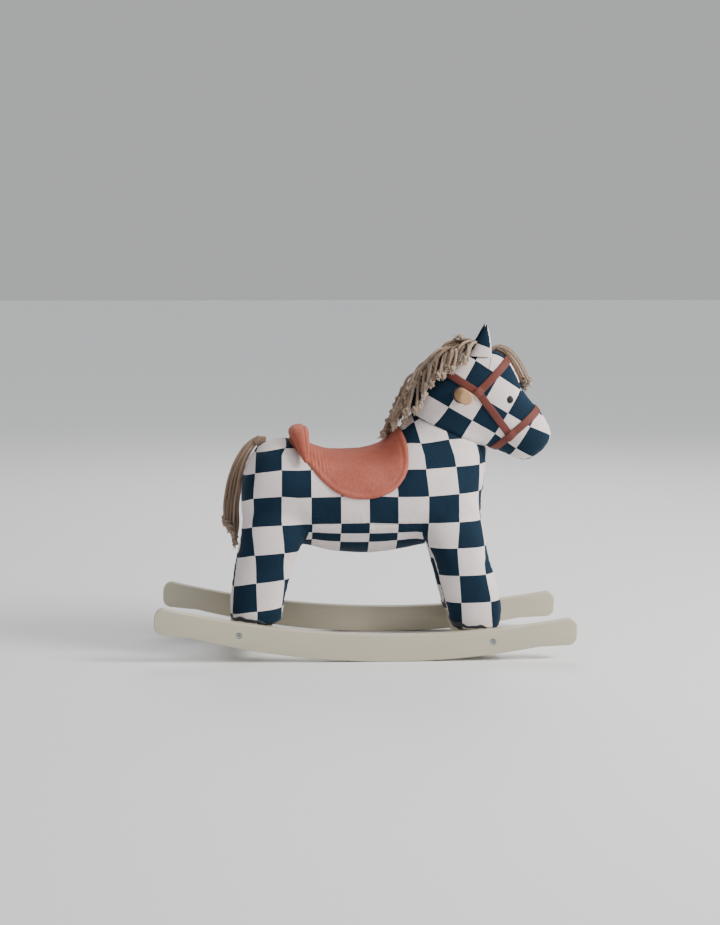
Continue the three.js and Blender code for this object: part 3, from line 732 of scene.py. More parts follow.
def side_checks(u, y, v):
    """The side panel's columns and rows, with the places where the cloth is drawn out of line."""
    rear, offset = u < 0, end_middle(u, v)[1]
    along, up = length_along(u, y, v) / 100, (length_up(u, y, v) - 222) / 100
    column = 3.96 + 2.06 * along + 0.10 * up + 0.035 * along * up
    row = -0.155 - 0.12 * along + 2.16 * up
    # down round the rump, by height in three upright strips
    heights = [62, 110, 160, 215, 262, 310, 346]
    near, mid, far = [np.interp(v, heights, line) for line in ([2.6, 0, -0.6, 0, -3.2, -1.6, -1.6],
                                                               [5.5, 3, 2.6, 0.6, -1.6, 3.2, 15],
                                                               [8, 6.5, 6, 3, 3, 7, 21])]
    from_mid, from_far = ramp(-u, 149, 47), ramp(-u, 196, 22, 1.2)
    row += (near * ramp(-u, 120, 29) + (mid - near) * from_mid + (far - mid) * from_far) / CHECK
    row += 0.12 * ramp(np.where(rear, offset, 0), 0, 72) ** 3
    # across the shoulder and up the crest of the neck
    row += np.interp(u, [0, 45, 90, 150], [0, 0.07, 0.10, 0.07]) * ramp(v, 200, 30)
    row += 0.16 * ramp(v, 345, 40) * ramp(-u, -130, 40) * (u > 0)
    row += 0.45 * ramp(v, 366, 20) * ramp(-u, -88, 32) * (u > 30)
    row = np.where(rear & (v > 330), np.minimum(row, 3.96), row)  # one check reaches the seam along the back
    # forward over the chest, back up the neck, and a little aside on the barrel and the legs
    forward = np.interp(v, [188, 233, 280, 328, 370, 400], [1, 6.5, 9, 6.5, 1.5, 0]) * ramp(u, 40, 100, 1.2)
    back = np.interp(v, [345, 374, 403, 412], [0, -5, -11, -13]) * ramp(u, 0, 30)
    column -= (forward + back) / CHECK + 0.12 * ramp(-v, -170, 100) * ramp(-u, 145, 40)
    column += 0.08 * ramp(-u, 70, 60) * (ramp(v, 190, 40) - 2 * ramp(v, 338, 14))
    column -= 0.17 * ramp(-v, -185, 60) * ramp(u, -175, 25) * rear
    column -= 0.13 * ramp(-v, -170, 60) * ramp(u, 185, 25)
    column += 0.07 * ramp(v, 285, 30) * ramp(-u, -115, 40) * (u > 20)
    column += 0.09 * ramp(-v, -150, 30) * ramp(-u, -152, 15) * (u > 20)
    return with_zero(column, row)


CHEST_FRONT = 150  # the gusset runs up the chest in front of this


def belly_seam(u):
    return 227.5 - 3e-4 * (u - 10) ** 2


def gusset_checks(u, y, v):
    """The gusset's columns and rows, along the belly, up the chest and down the inner legs."""
    chest = u > CHEST_FRONT
    to_seam = wrapped(belly_seam(u) - 255, np.full(len(y), 93.0), 90.5, BARREL_HALF)
    under = to_seam - wrapped(np.minimum(v - 255, 0), y, 90.5, BARREL_HALF)
    squat = np.minimum(under, 38.4) / 19.2 + np.maximum(under - 38.4, 0) / CHECK
    leg_row = (v - 246) / CHECK + np.where(u < 0, 0, 1)
    row = np.where(chest, (v - 331) / CHECK + 1, np.where(v < 168, leg_row, -squat))
    column = np.where(chest, y / CHECK + np.interp(v, [195, 245], [0.87, 0.56]), 3.96 + 2.06 * u / 100)
    return with_zero(column, row)


def body_seams(u, y, v):
    """Distance out from the seam between gusset and side, and from the seam along the back."""
    rear, chest = u < 0, u > CHEST_FRONT
    chest_y = np.interp(v, [205, 235, 277, 320, 356], [60, 30, 20, 28, 37])
    seam_y = np.where(v > 205, np.where(chest, chest_y, 52), leg_centre_y(v))
    edge_in = np.where(rear, np.interp(v, *REAR_LEG_INNER) - u, u - np.interp(v, *FRONT_LEG_INNER))
    edge_in += np.interp(v, [110, 135], [9, 3])  # the seam leaves the leg's edge lower down
    belly = np.maximum(v - belly_seam(u), np.minimum(y - seam_y, edge_in))
    return with_zero(np.where(chest, y - seam_y, belly), np.where((u < -120) & (v > 222), y, 50.0))


def body_checks(p):
    """(side panel's checks, gusset's checks, seam distances) at points of the body."""
    place = p[:, 0], np.abs(p[:, 1]), p[:, 2]
    return side_checks(*place), gusset_checks(*place), body_seams(*place)


def head_checks(p):
    """(side panel's checks, centre gusset's checks, seam distances) at points of the head."""
    u, y, v = (p[:, 0] - 190) / 100, np.abs(p[:, 1]), (p[:, 2] - 430) / 100
    column = 1.075 + 1.885 * u - 1.052 * v
    row = 1.275 - 1.122 * u - 2.045 * v + 0.14 * u * v + 0.27 * v**2
    column += 0.11 * np.clip(0.04 - v, 0, 0.36) / 0.36 * np.clip(-0.55 - u, 0, 0.28) / 0.28
    row += 0.15 * np.clip(u - 0.85, 0, 0.4) / 0.4 - 0.12 * np.clip(-0.45 - v, 0, 0.25) / 0.25
    # the gusset runs over the crown and down the face, so its length goes round the head's middle
    turn = np.arctan2(p[:, 2] - 425, p[:, 0] - 205)
    reach = np.hypot(p[:, 2] - 425, p[:, 0] - 205)
    width = np.interp(turn, [-1.2, -0.7, 0.2, 1.0, 1.8, 2.6, 3.1], [10, 17, 23, 27, 26, 24, 20])
    seam = np.where((turn > -1.0) & (turn < 3.1), y - width, 60.0)
    under = np.where((turn < -0.9) & (p[:, 0] > 205), y, 50.0)
    return (with_zero(column, row), with_zero(y / CHECK + 0.02, 0.843 - turn * reach / 60),
            with_zero(seam, under))


def nearest_seam(seams):
    return np.minimum(np.abs(seams[:, 0]), np.abs(seams[:, 1]))


def held_at_seams(p, seams):
    """How firmly the cloth is held at points: by its own seams, and by the one between neck and head."""
    from_neck = np.abs((p[:, 2] - 358) * 0.926 + (p[:, 0] - 201) * 0.377)
    held = np.clip(1.15 - nearest_seam(seams) / 9, 0, 1)
    return np.maximum(held, np.clip(1.3 - from_neck / 12, 0, 1) * (p[:, 2] > 330))


def sewn(obj, checks, puckers, flat_below=None):
    """Pulls the seams in, ruffles the cloth a little beside them, and stores the checks."""
    mesh = obj.data
    p = row_to_level(coordinates(mesh))
    near = nearest_seam(checks(p)[2])
    groove = 1.7 * np.exp(-((near / 5.5) ** 2)) + 0.8 * np.exp(-((near / 2.2) ** 2))
    ruffle = puckers * np.exp(-((near / 13) ** 2)) * soft_noise(p, 13, 5)
    pushed_out(mesh, 0.55 * soft_noise(p, 62, 8) + ruffle - groove)
    if flat_below:
        level = row_to_level(coordinates(mesh))
        level[:, 2] = np.maximum(level[:, 2], flat_below)
        set_coordinates(mesh, level_to_row(level))
    found = checks(row_to_level(coordinates(mesh)))
    for name, values in zip(("side_checks", "gusset_checks", "seams"), found):
        store(mesh, name, values)


def plush_body():
    """The stuffed torso and legs, one skin from neck to feet."""
    lofts = [loft(TORSO, 70, 56)]
    for stations in (REAR_LEG, FRONT_LEG):
        for side, _ in SIDES:
            lofts.append(loft([s[:5] + [side * s[5]] for s in stations], 26, 36))
    obj = stuffed_form("plush_body", lofts, 5.5, 7)
    p = row_to_level(coordinates(obj.data))
    at_foot = np.clip((FOOT_BOTTOM + 10 - p[:, 2]) / 6, 0, 1)
    inflate(obj, np.maximum(held_at_seams(p, body_checks(p)[2]), at_foot), 4.0)
    subdivided(obj)
    sewn(obj, body_checks, 0.9, flat_below=FOOT_BOTTOM)
    dress(obj, ["torso"] + [f"leg_{end}_{side}" for _, end in ENDS for _, side in SIDES])
    return obj


def dress(obj, replaces):
    """Makes a stuffed form a padded piece of checked cotton."""
    mesh = obj.data
    mesh.materials.clear()
    mesh.materials.append(FINISH["checked_cotton"])
    mesh.polygons.foreach_set("use_smooth", [True] * len(mesh.polygons))
    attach(obj, "horse")
    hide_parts(*replaces)


def plush_head():
    """The stuffed head, sewn on at the neck."""
    obj = stuffed_form("plush_head", [loft(HEAD, 70, 52)], 4.5, 6)
    p = row_to_level(coordinates(obj.data))
    inflate(obj, held_at_seams(p, head_checks(p)[2]), 3.5)
    subdivided(obj)
    sewn(obj, head_checks, 0.7)
    dress(obj, ["head"])
    return obj


body = plush_body()
head = plush_head()
body_tree, head_tree = tree_of(body.data), tree_of(head.data)
both_tree = tree_of(body.data, head.data)

# ---------------------------------------------------------------- rockers, rails, plates and bolts


def rocker_top(u):
    return float(ROCKER["mid"] + ROCKER["top"] - np.sqrt(ROCKER["top"] ** 2 - u**2))


def rocker_outline():
    """The board's edge in side view, as level-frame points going round."""
    bottom, corner, lower = ROCKER["bottom"], ROCKER["corner"], ROCKER["corner_height"]
    end_u = ROCKER["length"] / 2 - corner
    upper = rocker_top(end_u) - corner
    running = np.radians(np.linspace(-ROCKER["running"], ROCKER["running"], 61))
    turn = np.radians(np.linspace(0, 90, 9))
    edge = [(bottom * math.sin(a), bottom * (1 - math.cos(a))) for a in running]
    edge += [(end_u + corner * math.sin(a), lower - corner * math.cos(a)) for a in turn]
    edge += [(end_u + corner * math.cos(a), upper + corner * math.sin(a)) for a in turn]
    edge += [(u, rocker_top(u)) for u in np.linspace(end_u, -end_u, 57)[1:-1]]
    edge += [(-end_u - corner * math.sin(a), upper + corner * math.cos(a)) for a in turn]
    edge += [(-end_u - corner * math.cos(a), lower - corner * math.sin(a)) for a in turn]
    return np.array(edge)


def cut_away(obj, cutters):
    """Cuts closed meshes out of an object, and removes them."""
    for cutter in cutters:
        tool = bpy.data.objects.new("cutter", cutter)
        bpy.context.collection.objects.link(tool)
        modifier = obj.modifiers.new("cut", "BOOLEAN")
        modifier.object, modifier.operation, modifier.solver = tool, "DIFFERENCE", "EXACT"
        applied(obj)
        bpy.data.objects.remove(tool)


def ring_across(centre, radius, along, angle):
    """A ring of points round a line across the horse, moved along it from centre."""
    u, y, v = centre
    across = np.full(len(angle), y + along)
    return np.stack([u + radius * np.cos(angle), across, v + radius * np.sin(angle)], axis=1)


def turned(name, profile, centre, sides=32):
    """A lathed mesh: profile [(radius, along)] turned about a line across the horse through centre."""
    angle = round_angles(sides)
    points = np.vstack([ring_across(centre, radius, along, angle) for radius, along in profile])
    return face_out(mesh_of(name, points, capped_faces(len(profile), sides)))


def rocker(side, name):
    """A bent board with rounded edges, and a well for each bolt head in its outer face."""
    outline = rocker_outline()
    ahead, behind = np.roll(outline, -1, axis=0), np.roll(outline, 1, axis=0)
    tangent = (ahead - behind) / np.linalg.norm(ahead - behind, axis=1)[:, None]
    inwards = np.stack([-tangent[:, 1], tangent[:, 0]], axis=1)
    half, rounding = ROCKER["thickness"] / 2, ROCKER["rounding"]
    middle = side * (ROCKER["outer_width"] - ROCKER["thickness"]) / 2
    rings = []
    for sign, turns in ((-1, np.linspace(90, 0, 6)), (1, np.linspace(0, 90, 6))):
        for a in np.radians(turns):
            inset = outline + inwards * rounding * (1 - math.cos(a))
            y = middle + sign * (half - rounding + rounding * math.sin(a))
            rings.append(np.stack([inset[:, 0], np.full(len(inset), y), inset[:, 1]], axis=1))
    mesh = face_out(mesh_of(f"{name}_board", np.vstack(rings), capped_faces(len(rings), len(outline))))
    obj = piece(f"{name}_board", mesh, "rocker_paint", replaces=[name])
    face, wide = side * ROCKER["outer_width"] / 2, BOLT["head"] + 0.7
    well = [(wide, -side * 3.0), (wide, side * 0.01), (BOLT["head"] + 1.3, side * 0.5)]
    cut_away(obj, [turned("well", well, (end * BOLT["u"], face, BOLT["v"])) for end, _ in ENDS])
    smooth_by_angle(obj.data)


def smooth_by_angle(mesh, degrees=32):
    """Smooth shading with sharp edges where faces meet at more than an angle."""
    bm = bmesh.new()
    bm.from_mesh(mesh)
    limit = math.radians(degrees)
    for face in bm.faces:
        face.smooth = True
    for edge in bm.edges:
        edge.smooth = len(edge.link_faces) == 2 and edge.calc_face_angle(0) < limit
    bm.to_mesh(mesh)
    bm.free()


def socket_bolt(end, side, corner):
    """A bolt whose round head, with a hexagon socket, is seated in the rocker's well."""
    angle = round_angles(48)
    shank = frame["nodes"][f"rocker_bolt_{corner}"]
    inner = min(abs((shank.matrix_world @ Vector(c)).y) for c in shank.bound_box) * 1000
    length = ROCKER["outer_width"] / 2 - inner
    hexagon = BOLT["socket"] / np.cos((angle + math.pi / 6) % (math.pi / 3) - math.pi / 6)
    head, depth = BOLT["head"], BOLT["depth"]
    # each ring's radius, and how far in it lies
    rings = [(2.4, length), (3.0, length - 0.6), (3.0, depth), (head, depth), (head, 0.7), (head - 0.2, 0.2),
             (head - 0.7, 0.0), (hexagon + 0.25, 0.0), (hexagon, 0.25), (hexagon, 4.4), (0.3, 4.8)]
    centre = (end * BOLT["u"], side * (ROCKER["outer_width"] / 2 - 0.3), BOLT["v"])
    points = np.vstack([ring_across(centre, radius, -side * inset, angle) for radius, inset in rings])
    mesh = face_out(mesh_of(f"bolt_head_{corner}", points, capped_faces(len(rings), len(angle))))
    piece(f"bolt_head_{corner}", mesh, "zinc_hardware", replaces=[f"rocker_bolt_{corner}"])
    smooth_by_angle(mesh, 40)


for side, side_name in SIDES:
    rocker(side, f"rocker_{side_name}")
    for end, end_name in ENDS:
        socket_bolt(end, side, f"{end_name}_{side_name}")

# ---------------------------------------------------------------- soles under the feet


def sole(end, side, corner):
    """The dark felt sole under a foot, its hem turned up a little unevenly round the leg."""
    angle = round_angles(96)
    u0, _, u1, _, half, _ = (REAR_LEG if end < 0 else FRONT_LEG)[1]
    middle, centre_y = (u0 + u1) / 2, side * float(leg_centre_y(FOOT_BOTTOM + 5))
    ragged = 1.6 * np.sin(3 * angle + 5 * end) + 1.0 * np.sin(7 * angle + side) + 0.5 * np.sin(13 * angle)
    ragged -= (2.6 if end < 0 else 4.6) * np.cos(angle)  # higher at the heel
    # each ring's distance out from the cloth, its height, and how ragged it is
    profile = [(-9.5, 0, 0), (-4.0, 0, 0), (-0.6, 0.2, 0), (0.8, 1.4, 0.2), (1.2, 4.6, 0.6), (1.1, 8.4, 1.1),
               (0.3, 9.4, 1.3), (-0.9, 8.6, 1.3), (-4.0, 1.6, 0.2)]
    points = []
    for out, up, wave in profile:
        for a, bump in zip(angle, ragged):
            v = FOOT_BOTTOM - 0.3 + up + wave * bump
            way = Vector((math.cos(a), math.sin(a), 0))
            start = Vector((middle, centre_y, max(v, FOOT_BOTTOM + 2.5)))
            reach = (body_tree.ray_cast(start, way)[3] or half) + out
            points.append((middle + reach * way.x, centre_y + reach * way.y, v))
    mesh = face_out(mesh_of(f"sole_{corner}", points, capped_faces(len(profile), len(angle))))
    piece(f"sole_{corner}", mesh, SOLE)


for end, end_name in ENDS:
    for side, side_name in SIDES:
        sole(end, side, f"{end_name}_{side_name}")

# ---------------------------------------------------------------- handle, ears, eyes


def on_head(u, v, side):
    """Where a line from the side meets the head, and the cloth's normal there."""
    return head_tree.ray_cast(Vector((u, side * 120, v)), Vector((0, -side, 0)))[:2]


def handle():
    """The wooden handle, its ends rounded over."""
    r, half, rounding = HANDLE["radius"], HANDLE["length"] / 2, HANDLE["rounding"]
    turn = np.radians(np.linspace(90, 0, 8))
    end = [(k * (r - rounding), half) for k in (0.15, 0.4, 0.7)]
    end += [(r - rounding + rounding * math.cos(a), half - rounding + rounding * math.sin(a)) for a in turn]
    profile = [(radius, -along) for radius, along in end] + end[::-1]
    mesh = turned("handle", profile, (HANDLE["u"], 0, HANDLE["v"]), sides=56)
    piece("handle", mesh, "beech", replaces=["handle_dowel"])


def handle_hole_shade_ring(side, side_name):
    """A ring of dark navy thread round the hole that the handle comes out of: painted shade for the gap round
    the handle.
    """
    r = HANDLE["radius"]
    shape = Shape()
    for start in round_angles(44):
        across = []
        for turn, radius, lift in ((0, r + 0.4, 1.0), (0.05, r + 2.0, 1.0), (0.1, r + 3.0, 0.3)):
            u = HANDLE["u"] + radius * math.cos(start + turn)
            v = HANDLE["v"] + radius * math.sin(start + turn)
            hit, _ = on_head(u, v, side)
            across.append((u, (hit.y if hit else side * 57) + side * lift, v))
        shape.add(*tube(np.array(across), 0.7))
    piece(f"handle_hole_shade_ring_{side_name}", shape.mesh("rim"), NAVY_THREAD)


def frames_along(path):
    """Two directions across a path at each of its points, turning as little as they can."""
    tangent = np.gradient(path, axis=0)
    tangent /= np.maximum(np.linalg.norm(tangent, axis=1), 1e-9)[:, None]
    first = np.cross(tangent[0], [0.3, 0.9, 0.2])
    across = [first / np.linalg.norm(first)]
    for t in tangent[1:]:
        a = across[-1] - t * (across[-1] @ t)
        across.append(a / max(np.linalg.norm(a), 1e-9))
    across = np.array(across)
    return across, np.cross(tangent, across)


PLIES, PLY_PITCH = 3, 11.0


def tube(path, radius, sides=6, laid=False, taper=None):
    """A closed tube along a path; laid, it is a rope of PLIES plies."""
    a, b = frames_along(path)
    angle = round_angles(sides)
    r = np.full((len(path), sides), float(radius))
    if laid:
        phase = angle[None, :] - distances(path)[:, None] / PLY_PITCH * 2 * math.pi
        r *= 0.80 + 0.22 * np.abs(np.cos(phase * PLIES / 2))
    if taper is not None:
        r *= np.asarray(taper)[:, None]
    ring = a[:, None, :] * np.cos(angle)[None, :, None] + b[:, None, :] * np.sin(angle)[None, :, None]
    points = (path[:, None, :] + ring * r[:, :, None]).reshape(-1, 3)
    caps = [tuple(range(sides - 1, -1, -1)), tuple(range((len(path) - 1) * sides, len(path) * sides))]
    return points, grid_faces(len(path), sides) + caps


def ear_axis(share, side):
    """An ear's middle line (u and y) and its half width, at a share of its height."""
    (u0, y0, _), (u1, y1, _) = EAR["base"], EAR["tip"]
    bow = np.sin(math.pi * share)
    return (u0 + (u1 - u0) * share + 2.0 * bow, side * (y0 + (y1 - y0) * share + 3 * bow),
            EAR["width"] * (1 - share) ** 0.94 + 1.1)


def ear_leaf(side):
    """Points and faces of a cupped leaf: its outside, its lining, and the rim that joins them."""
    rows, columns = 22, 25
    turn = np.linspace(-1, 1, columns) * math.radians(EAR["opening"])
    v0, v1 = EAR["base"][2], EAR["tip"][2]
    layers = [[], []]
    for share in 1 - (1 - np.linspace(0, 1, rows)) ** 1.25:
        centre_u, centre_y, width = ear_axis(share, side)
        depth = EAR["depth"] * (1 - share) ** 0.75 + 0.7
        for layer, inset in zip(layers, (0.0, EAR["lining"])):
            reach = 1 - min(inset, 0.4 * width) / max(width, 1)
            u = centre_u - width * reach * np.cos(turn) * 0.98 + width * 0.12
            y = centre_y + side * depth * reach * np.sin(turn)
            layer.append(np.stack([u, y, np.full(columns, v0 + (v1 - v0) * share)], axis=1))
    count = rows * columns
    outside = grid_faces(rows, columns, closed=False)
    lining = [tuple(i + count for i in reversed(f)) for f in outside]
    rim = [r * columns for r in range(rows)] + [(rows - 1) * columns + c for c in range(1, columns)]
    rim += [r * columns + columns - 1 for r in range(rows - 2, -1, -1)] + list(range(columns - 2, 0, -1))
    joined = [(a, b, b + count, a + count) for a, b in zip(rim, rim[1:] + rim[:1])]
    return np.array(layers).reshape(-1, 3), outside + lining + joined


def ear(side, side_name):
    """A folded ear, checked outside, its lining showing along the front edge."""
    mesh = face_out(mesh_of(f"ear_{side_name}", *ear_leaf(side)))
    obj = piece(f"ear_{side_name}_leaf", mesh, "checked_cotton", replaces=[f"ear_{side_name}"])
    subdivided(obj)
    p = row_to_level(coordinates(obj.data))
    pushed_out(obj.data, 0.5 * soft_noise(p, 22, 3))
    # the fold line between navy and white slopes down to the front; the lining and front edge stay white
    fold = (p[:, 2] - 536.5) + 0.33 * (p[:, 0] - 175)
    column = np.where(inside_of(p, normals(obj.data), side), 0.5, 0.99 + fold / CHECK)
    for name in ("side_checks", "gusset_checks"):
        store(obj.data, name, with_zero(column, np.full(len(p), 1.5)))
    store(obj.data, "seams", np.full((len(p), 3), 40.0))


def inside_of(p, outwards, side):
    """Which points of an ear belong to its lining or its front edge."""
    share = np.clip((p[:, 2] - EAR["base"][2]) / (EAR["tip"][2] - EAR["base"][2]), 0, 1)
    centre_u, centre_y, width = ear_axis(share, side)
    from_axis = np.stack([p[:, 0] - centre_u - width * 0.12, p[:, 1] - centre_y], axis=1)
    lining = (from_axis * outwards[:, :2]).sum(axis=1) < 0
    front_edge = p[:, 0] > centre_u + width * 0.58 - np.minimum(2.4, width * 0.35)
    return lining & (share < 0.93) | front_edge


def eye(side, side_name):
    """A small domed button, oval, with a rounded rim."""
    rings, angle = 9, round_angles(40)
    hit, normal = on_head(EYE["u"], EYE["v"], side)
    out = np.array(normal) * (1 if normal.y * side > 0 else -1)
    up = np.array([0, 0, 1.0]) - out * out[2]
    up /= np.linalg.norm(up)
    fore = np.cross(up, out)
    points = []
    for k in range(rings):
        a = math.radians(90 * k / (rings - 1))
        reach = math.cos(a) if k < rings - 1 else 0.02
        centre = np.array(hit) + out * (EYE["dome"] * math.sin(a) ** 0.7 - EYE["sunk"])
        points.append(centre + np.outer(EYE["half_width"] * reach * np.cos(angle), fore)
                      + np.outer(EYE["half_height"] * reach * np.sin(angle), up))
    mesh = face_out(mesh_of(f"eye_{side_name}", np.vstack(points), capped_faces(rings, len(angle))))
    piece(f"eye_{side_name}_button", mesh, "eye_black", replaces=[f"eye_{side_name}"])


def dart(side, side_name):
    """The short seam that runs down the head from the front of an ear."""
    path = []
    for t in np.linspace(0, 1, 14):
        hit, normal = on_head(202.5 - 4.5 * t + 1.2 * math.sin(math.pi * t), 517 - 23 * t, side)
        path.append(np.array(hit) + np.array(normal) * 0.05)
    mesh = mesh_of("dart", *tube(np.array(path), 0.42))
    piece(f"ear_dart_{side_name}", mesh, NAVY_THREAD)


handle()
for side, side_name in SIDES:
    handle_hole_shade_ring(side, side_name)
for side, side_name in SIDES:
    dart(side, side_name)
    ear(side, side_name)
    eye(side, side_name)

# ---------------------------------------------------------------- saddle

SADDLE_EDGE = [(-139, 358), (-122, 340), (-103, 321), (-83, 299), (-60, 281), (-36, 271.5), (-10, 269.3),
               (16, 273.5), (40, 285), (54, 300.5), (62.5, 318), (64.8, 338), (61.8, 364), (51, 390)]
ABOVE_SADDLE = [(50, 430), (-139, 430)]  # closes the outline over the horse's back
SADDLE_GAP = 0.7


def inside_saddle(points):
    """Distance in from the saddle's outline in side view, negative outside it."""
    p = points[:, [0, 2]]
    ring = np.vstack([catmull(SADDLE_EDGE, 140), ABOVE_SADDLE])
    best = np.full(len(p), 1e9)
    within = np.zeros(len(p), bool)
    for a, b in zip(ring, np.roll(ring, -1, axis=0)):
        along = b - a
        t = np.clip(((p - a) @ along) / max(along @ along, 1e-9), 0, 1)
        best = np.minimum(best, np.linalg.norm(p - a - t[:, None] * along, axis=1))
        crosses = (a[1] > p[:, 1]) != (b[1] > p[:, 1])
        rise = along[1] if abs(along[1]) >= 1e-9 else 1e-9
        within ^= crosses & (p[:, 0] < a[0] + (p[:, 1] - a[1]) / rise * along[0])
    return np.where(within, best, -best)


def trimmed_to(points, faces, field):
    """Keeps the part of a surface where field is positive, cut cleanly along its zero line."""
    bm = bmesh.new()
    verts = [bm.verts.new(p) for p in points]
    for f in faces:
        bm.faces.new([verts[i] for i in f])
    value = {v: (f if abs(f) > 0.02 else 0.02) for v, f in zip(verts, field)}
    fresh = []
    for e in [e for e in bm.edges if value[e.verts[0]] * value[e.verts[1]] < 0]:
        a, b = e.verts
        _, new = bmesh.utils.edge_split(e, a, value[a] / (value[a] - value[b]))
        value[new] = 0.0
        fresh.append(new)
    bmesh.ops.connect_verts(bm, verts=fresh)
    bmesh.ops.delete(bm, geom=[v for v, f in value.items() if v.is_valid and f < 0], context="VERTS")
    bm.verts.index_update()
    kept = np.array([v.co for v in bm.verts])
    out = [tuple(v.index for v in f.verts) for f in bm.faces]
    rims = [(e.verts[0].index, e.verts[1].index) for e in bm.edges if len(e.link_faces) == 1]
    bm.free()
    return kept, out, rims


def shell_over(points, faces, rims, normal, outer):
    """A closed shell: the surface moved out along its normals to SADDLE_GAP and to outer."""
    count = len(points)
    both = np.vstack([points + normal * outer[:, None], points + normal * SADDLE_GAP])
    shell = list(faces) + [tuple(i + count for i in reversed(f)) for f in faces]
    shell += [(a, b, b + count, a + count) for a, b in rims]
    return both, shell


BARREL_MIDDLE = 262  # height of the line inside the barrel that the saddle is laid round


def section_surface(us, angles):
    """Points where rays from the barrel's middle line leave it."""
    points = []
    for u in us:
        start = np.array((u, 0, BARREL_MIDDLE + max(0.0, u) * 0.35))
        for a in angles:
            way = Vector((0, math.sin(a), math.cos(a)))
            hit = body_tree.ray_cast(Vector(start), way)[0]
            points.append(np.array(hit) if hit else start + 90 * np.array(way))
    return np.array(points)


def saddle_seat():
    """The padded seat with its two flaps, laid over the barrel and folded a little in front of the roll."""
    us, angles = np.arange(-146, 74, 1.6), np.radians(np.arange(-108, 108.1, 1.6))
    points = section_surface(us, angles)
    faces = grid_faces(len(us), len(angles), closed=False)
    kept, faces, rims = trimmed_to(points, faces, inside_saddle(points))
    d = np.maximum(inside_saddle(kept), 0)
    rolled = np.sqrt(np.clip(1 - (1 - np.minimum(d / 6.5, 1)) ** 2, 0, 1))
    stitch_line = 0.9 * np.exp(-(((d - 9) / 2.6) ** 2))
    crease = np.exp(-((np.hypot(kept[:, 0] + 92, (kept[:, 2] - 322) * 0.85) / 19) ** 2))
    folds = 0.75 * crease * np.sin((kept[:, 0] + kept[:, 2] * 0.2) / 0.98 + 1.6 * soft_noise(kept, 26, 23))
    puff = 0.55 * soft_noise(kept, 46, 21) + 0.25 * soft_noise(kept, 15, 22)
    outer = 1.2 + 4.3 * rolled - stitch_line + (folds + puff) * rolled
    shell = shell_over(kept, faces, rims, surface_normals(kept, faces), outer)
    mesh = face_out(mesh_of("saddle_seat", *shell))
    obj = piece("saddle_seat_pad", mesh, "saddle_suede", replaces=["saddle_seat"])
    subdivided(obj)


def surface_normals(points, faces):
    """Outward point normals of an open surface round the barrel."""
    total = np.zeros_like(points)
    for f in faces:
        a, b, c = points[f[0]], points[f[1]], points[f[2]]
        n = np.cross(b - a, c - a)
        for i in f:
            total[i] += n
    total /= np.maximum(np.linalg.norm(total, axis=1), 1e-9)[:, None]
    away = np.stack([np.zeros(len(points)), points[:, 1], points[:, 2] - BARREL_MIDDLE], axis=1)
    return np.where((total * away).sum(1, keepdims=True) < 0, -total, total)


# Half of the cantle's arch: [u, y, v, half thickness along the horse, half thickness outwards].
CANTLE_ARCH = [
    [-108.5, 87, 329.5, 3.4, 4.2], [-111, 82, 337, 7, 6.5], [-114, 73, 348, 10.5, 9], [-117, 62, 358, 13, 11],
    [-119.5, 47, 366, 15, 12.5], [-121.5, 28, 370.5, 17, 13.4], [-122.5, 0, 372.2, 17.6, 13.8],
]
CANTLE_SEAM = 0.55  # angle from the roll's crest forwards to its seam
CANTLE_HUB = 290.0  # height of the point that the arch bends round
STITCH = dict(pitch=4.6, length=2.6, radius=0.42, behind_seam=0.28, depth=0.92)


def cantle_outwards(y, v):
    return np.array([0, y, v - CANTLE_HUB]) / math.hypot(y, v - CANTLE_HUB)


def cantle():
    """The padded roll behind the seat, sewn from two pieces that meet in a seam along its crest."""
    rows, angle = 97, round_angles(44)
    line = catmull(CANTLE_ARCH + [[u, -y, v, a, b] for u, y, v, a, b in reversed(CANTLE_ARCH[:-1])], rows)
    from_seam = (angle - CANTLE_SEAM + math.pi) % (2 * math.pi) - math.pi
    seam = np.exp(-((from_seam / 0.11) ** 2))
    points = []
    for k, (u, y, v, fore_aft, radial) in enumerate(line):
        gathered = 0.022 * np.sin(k * 1.05 + 3 * np.cos(angle)) * np.exp(-min(k, rows - 1 - k) / 16)
        creased = 0.012 * np.sin(k * 0.8) * np.exp(-(((angle - 5.9) / 0.7) ** 2))
        reach = (1 + gathered + creased) * (1 - 0.15 * seam)
        points.append(np.array([u, y, v]) + np.outer(np.cos(angle) * radial * reach, cantle_outwards(y, v))
                      + np.outer(np.sin(angle) * fore_aft * reach, [1, 0, 0]))
    mesh = face_out(mesh_of("saddle_cantle", np.vstack(points), capped_faces(rows, len(angle))))
    store_edge(mesh, np.tile(seam, rows))
    obj = piece("saddle_cantle_roll", mesh, "saddle_suede", replaces=["saddle_cantle"])
    pushed_out(mesh, 0.5 * soft_noise(row_to_level(coordinates(mesh)), 24, 31))
    cantle_stitches(line)


def at_distances(path, lengths):
    """The points that lie at these lengths along a path."""
    along = distances(path)
    return np.stack([np.interp(lengths, along, path[:, k]) for k in range(3)], axis=1)


def cantle_stitches(line):
    """A row of short threads just behind the cantle's seam."""
    a = CANTLE_SEAM - STITCH["behind_seam"]
    path = np.array([np.array([u + fore_aft * math.sin(a) * STITCH["depth"], y, v])
                     + cantle_outwards(y, v) * radial * math.cos(a) * STITCH["depth"]
                     for u, y, v, fore_aft, radial in line[6:-6]])
    shape = Shape()
    for start in np.arange(STITCH["pitch"] / 2, distances(path)[-1] - STITCH["length"], STITCH["pitch"]):
        one = at_distances(path, start + STITCH["length"] * np.arange(5) / 4)
        shape.add(*tube(one, STITCH["radius"], taper=[0.5, 1, 1.1, 1, 0.5]))
    piece("cantle_stitching", shape.mesh("cantle_stitching"), PALE_THREAD)


saddle_seat()
cantle()

# ---------------------------------------------------------------- bridle

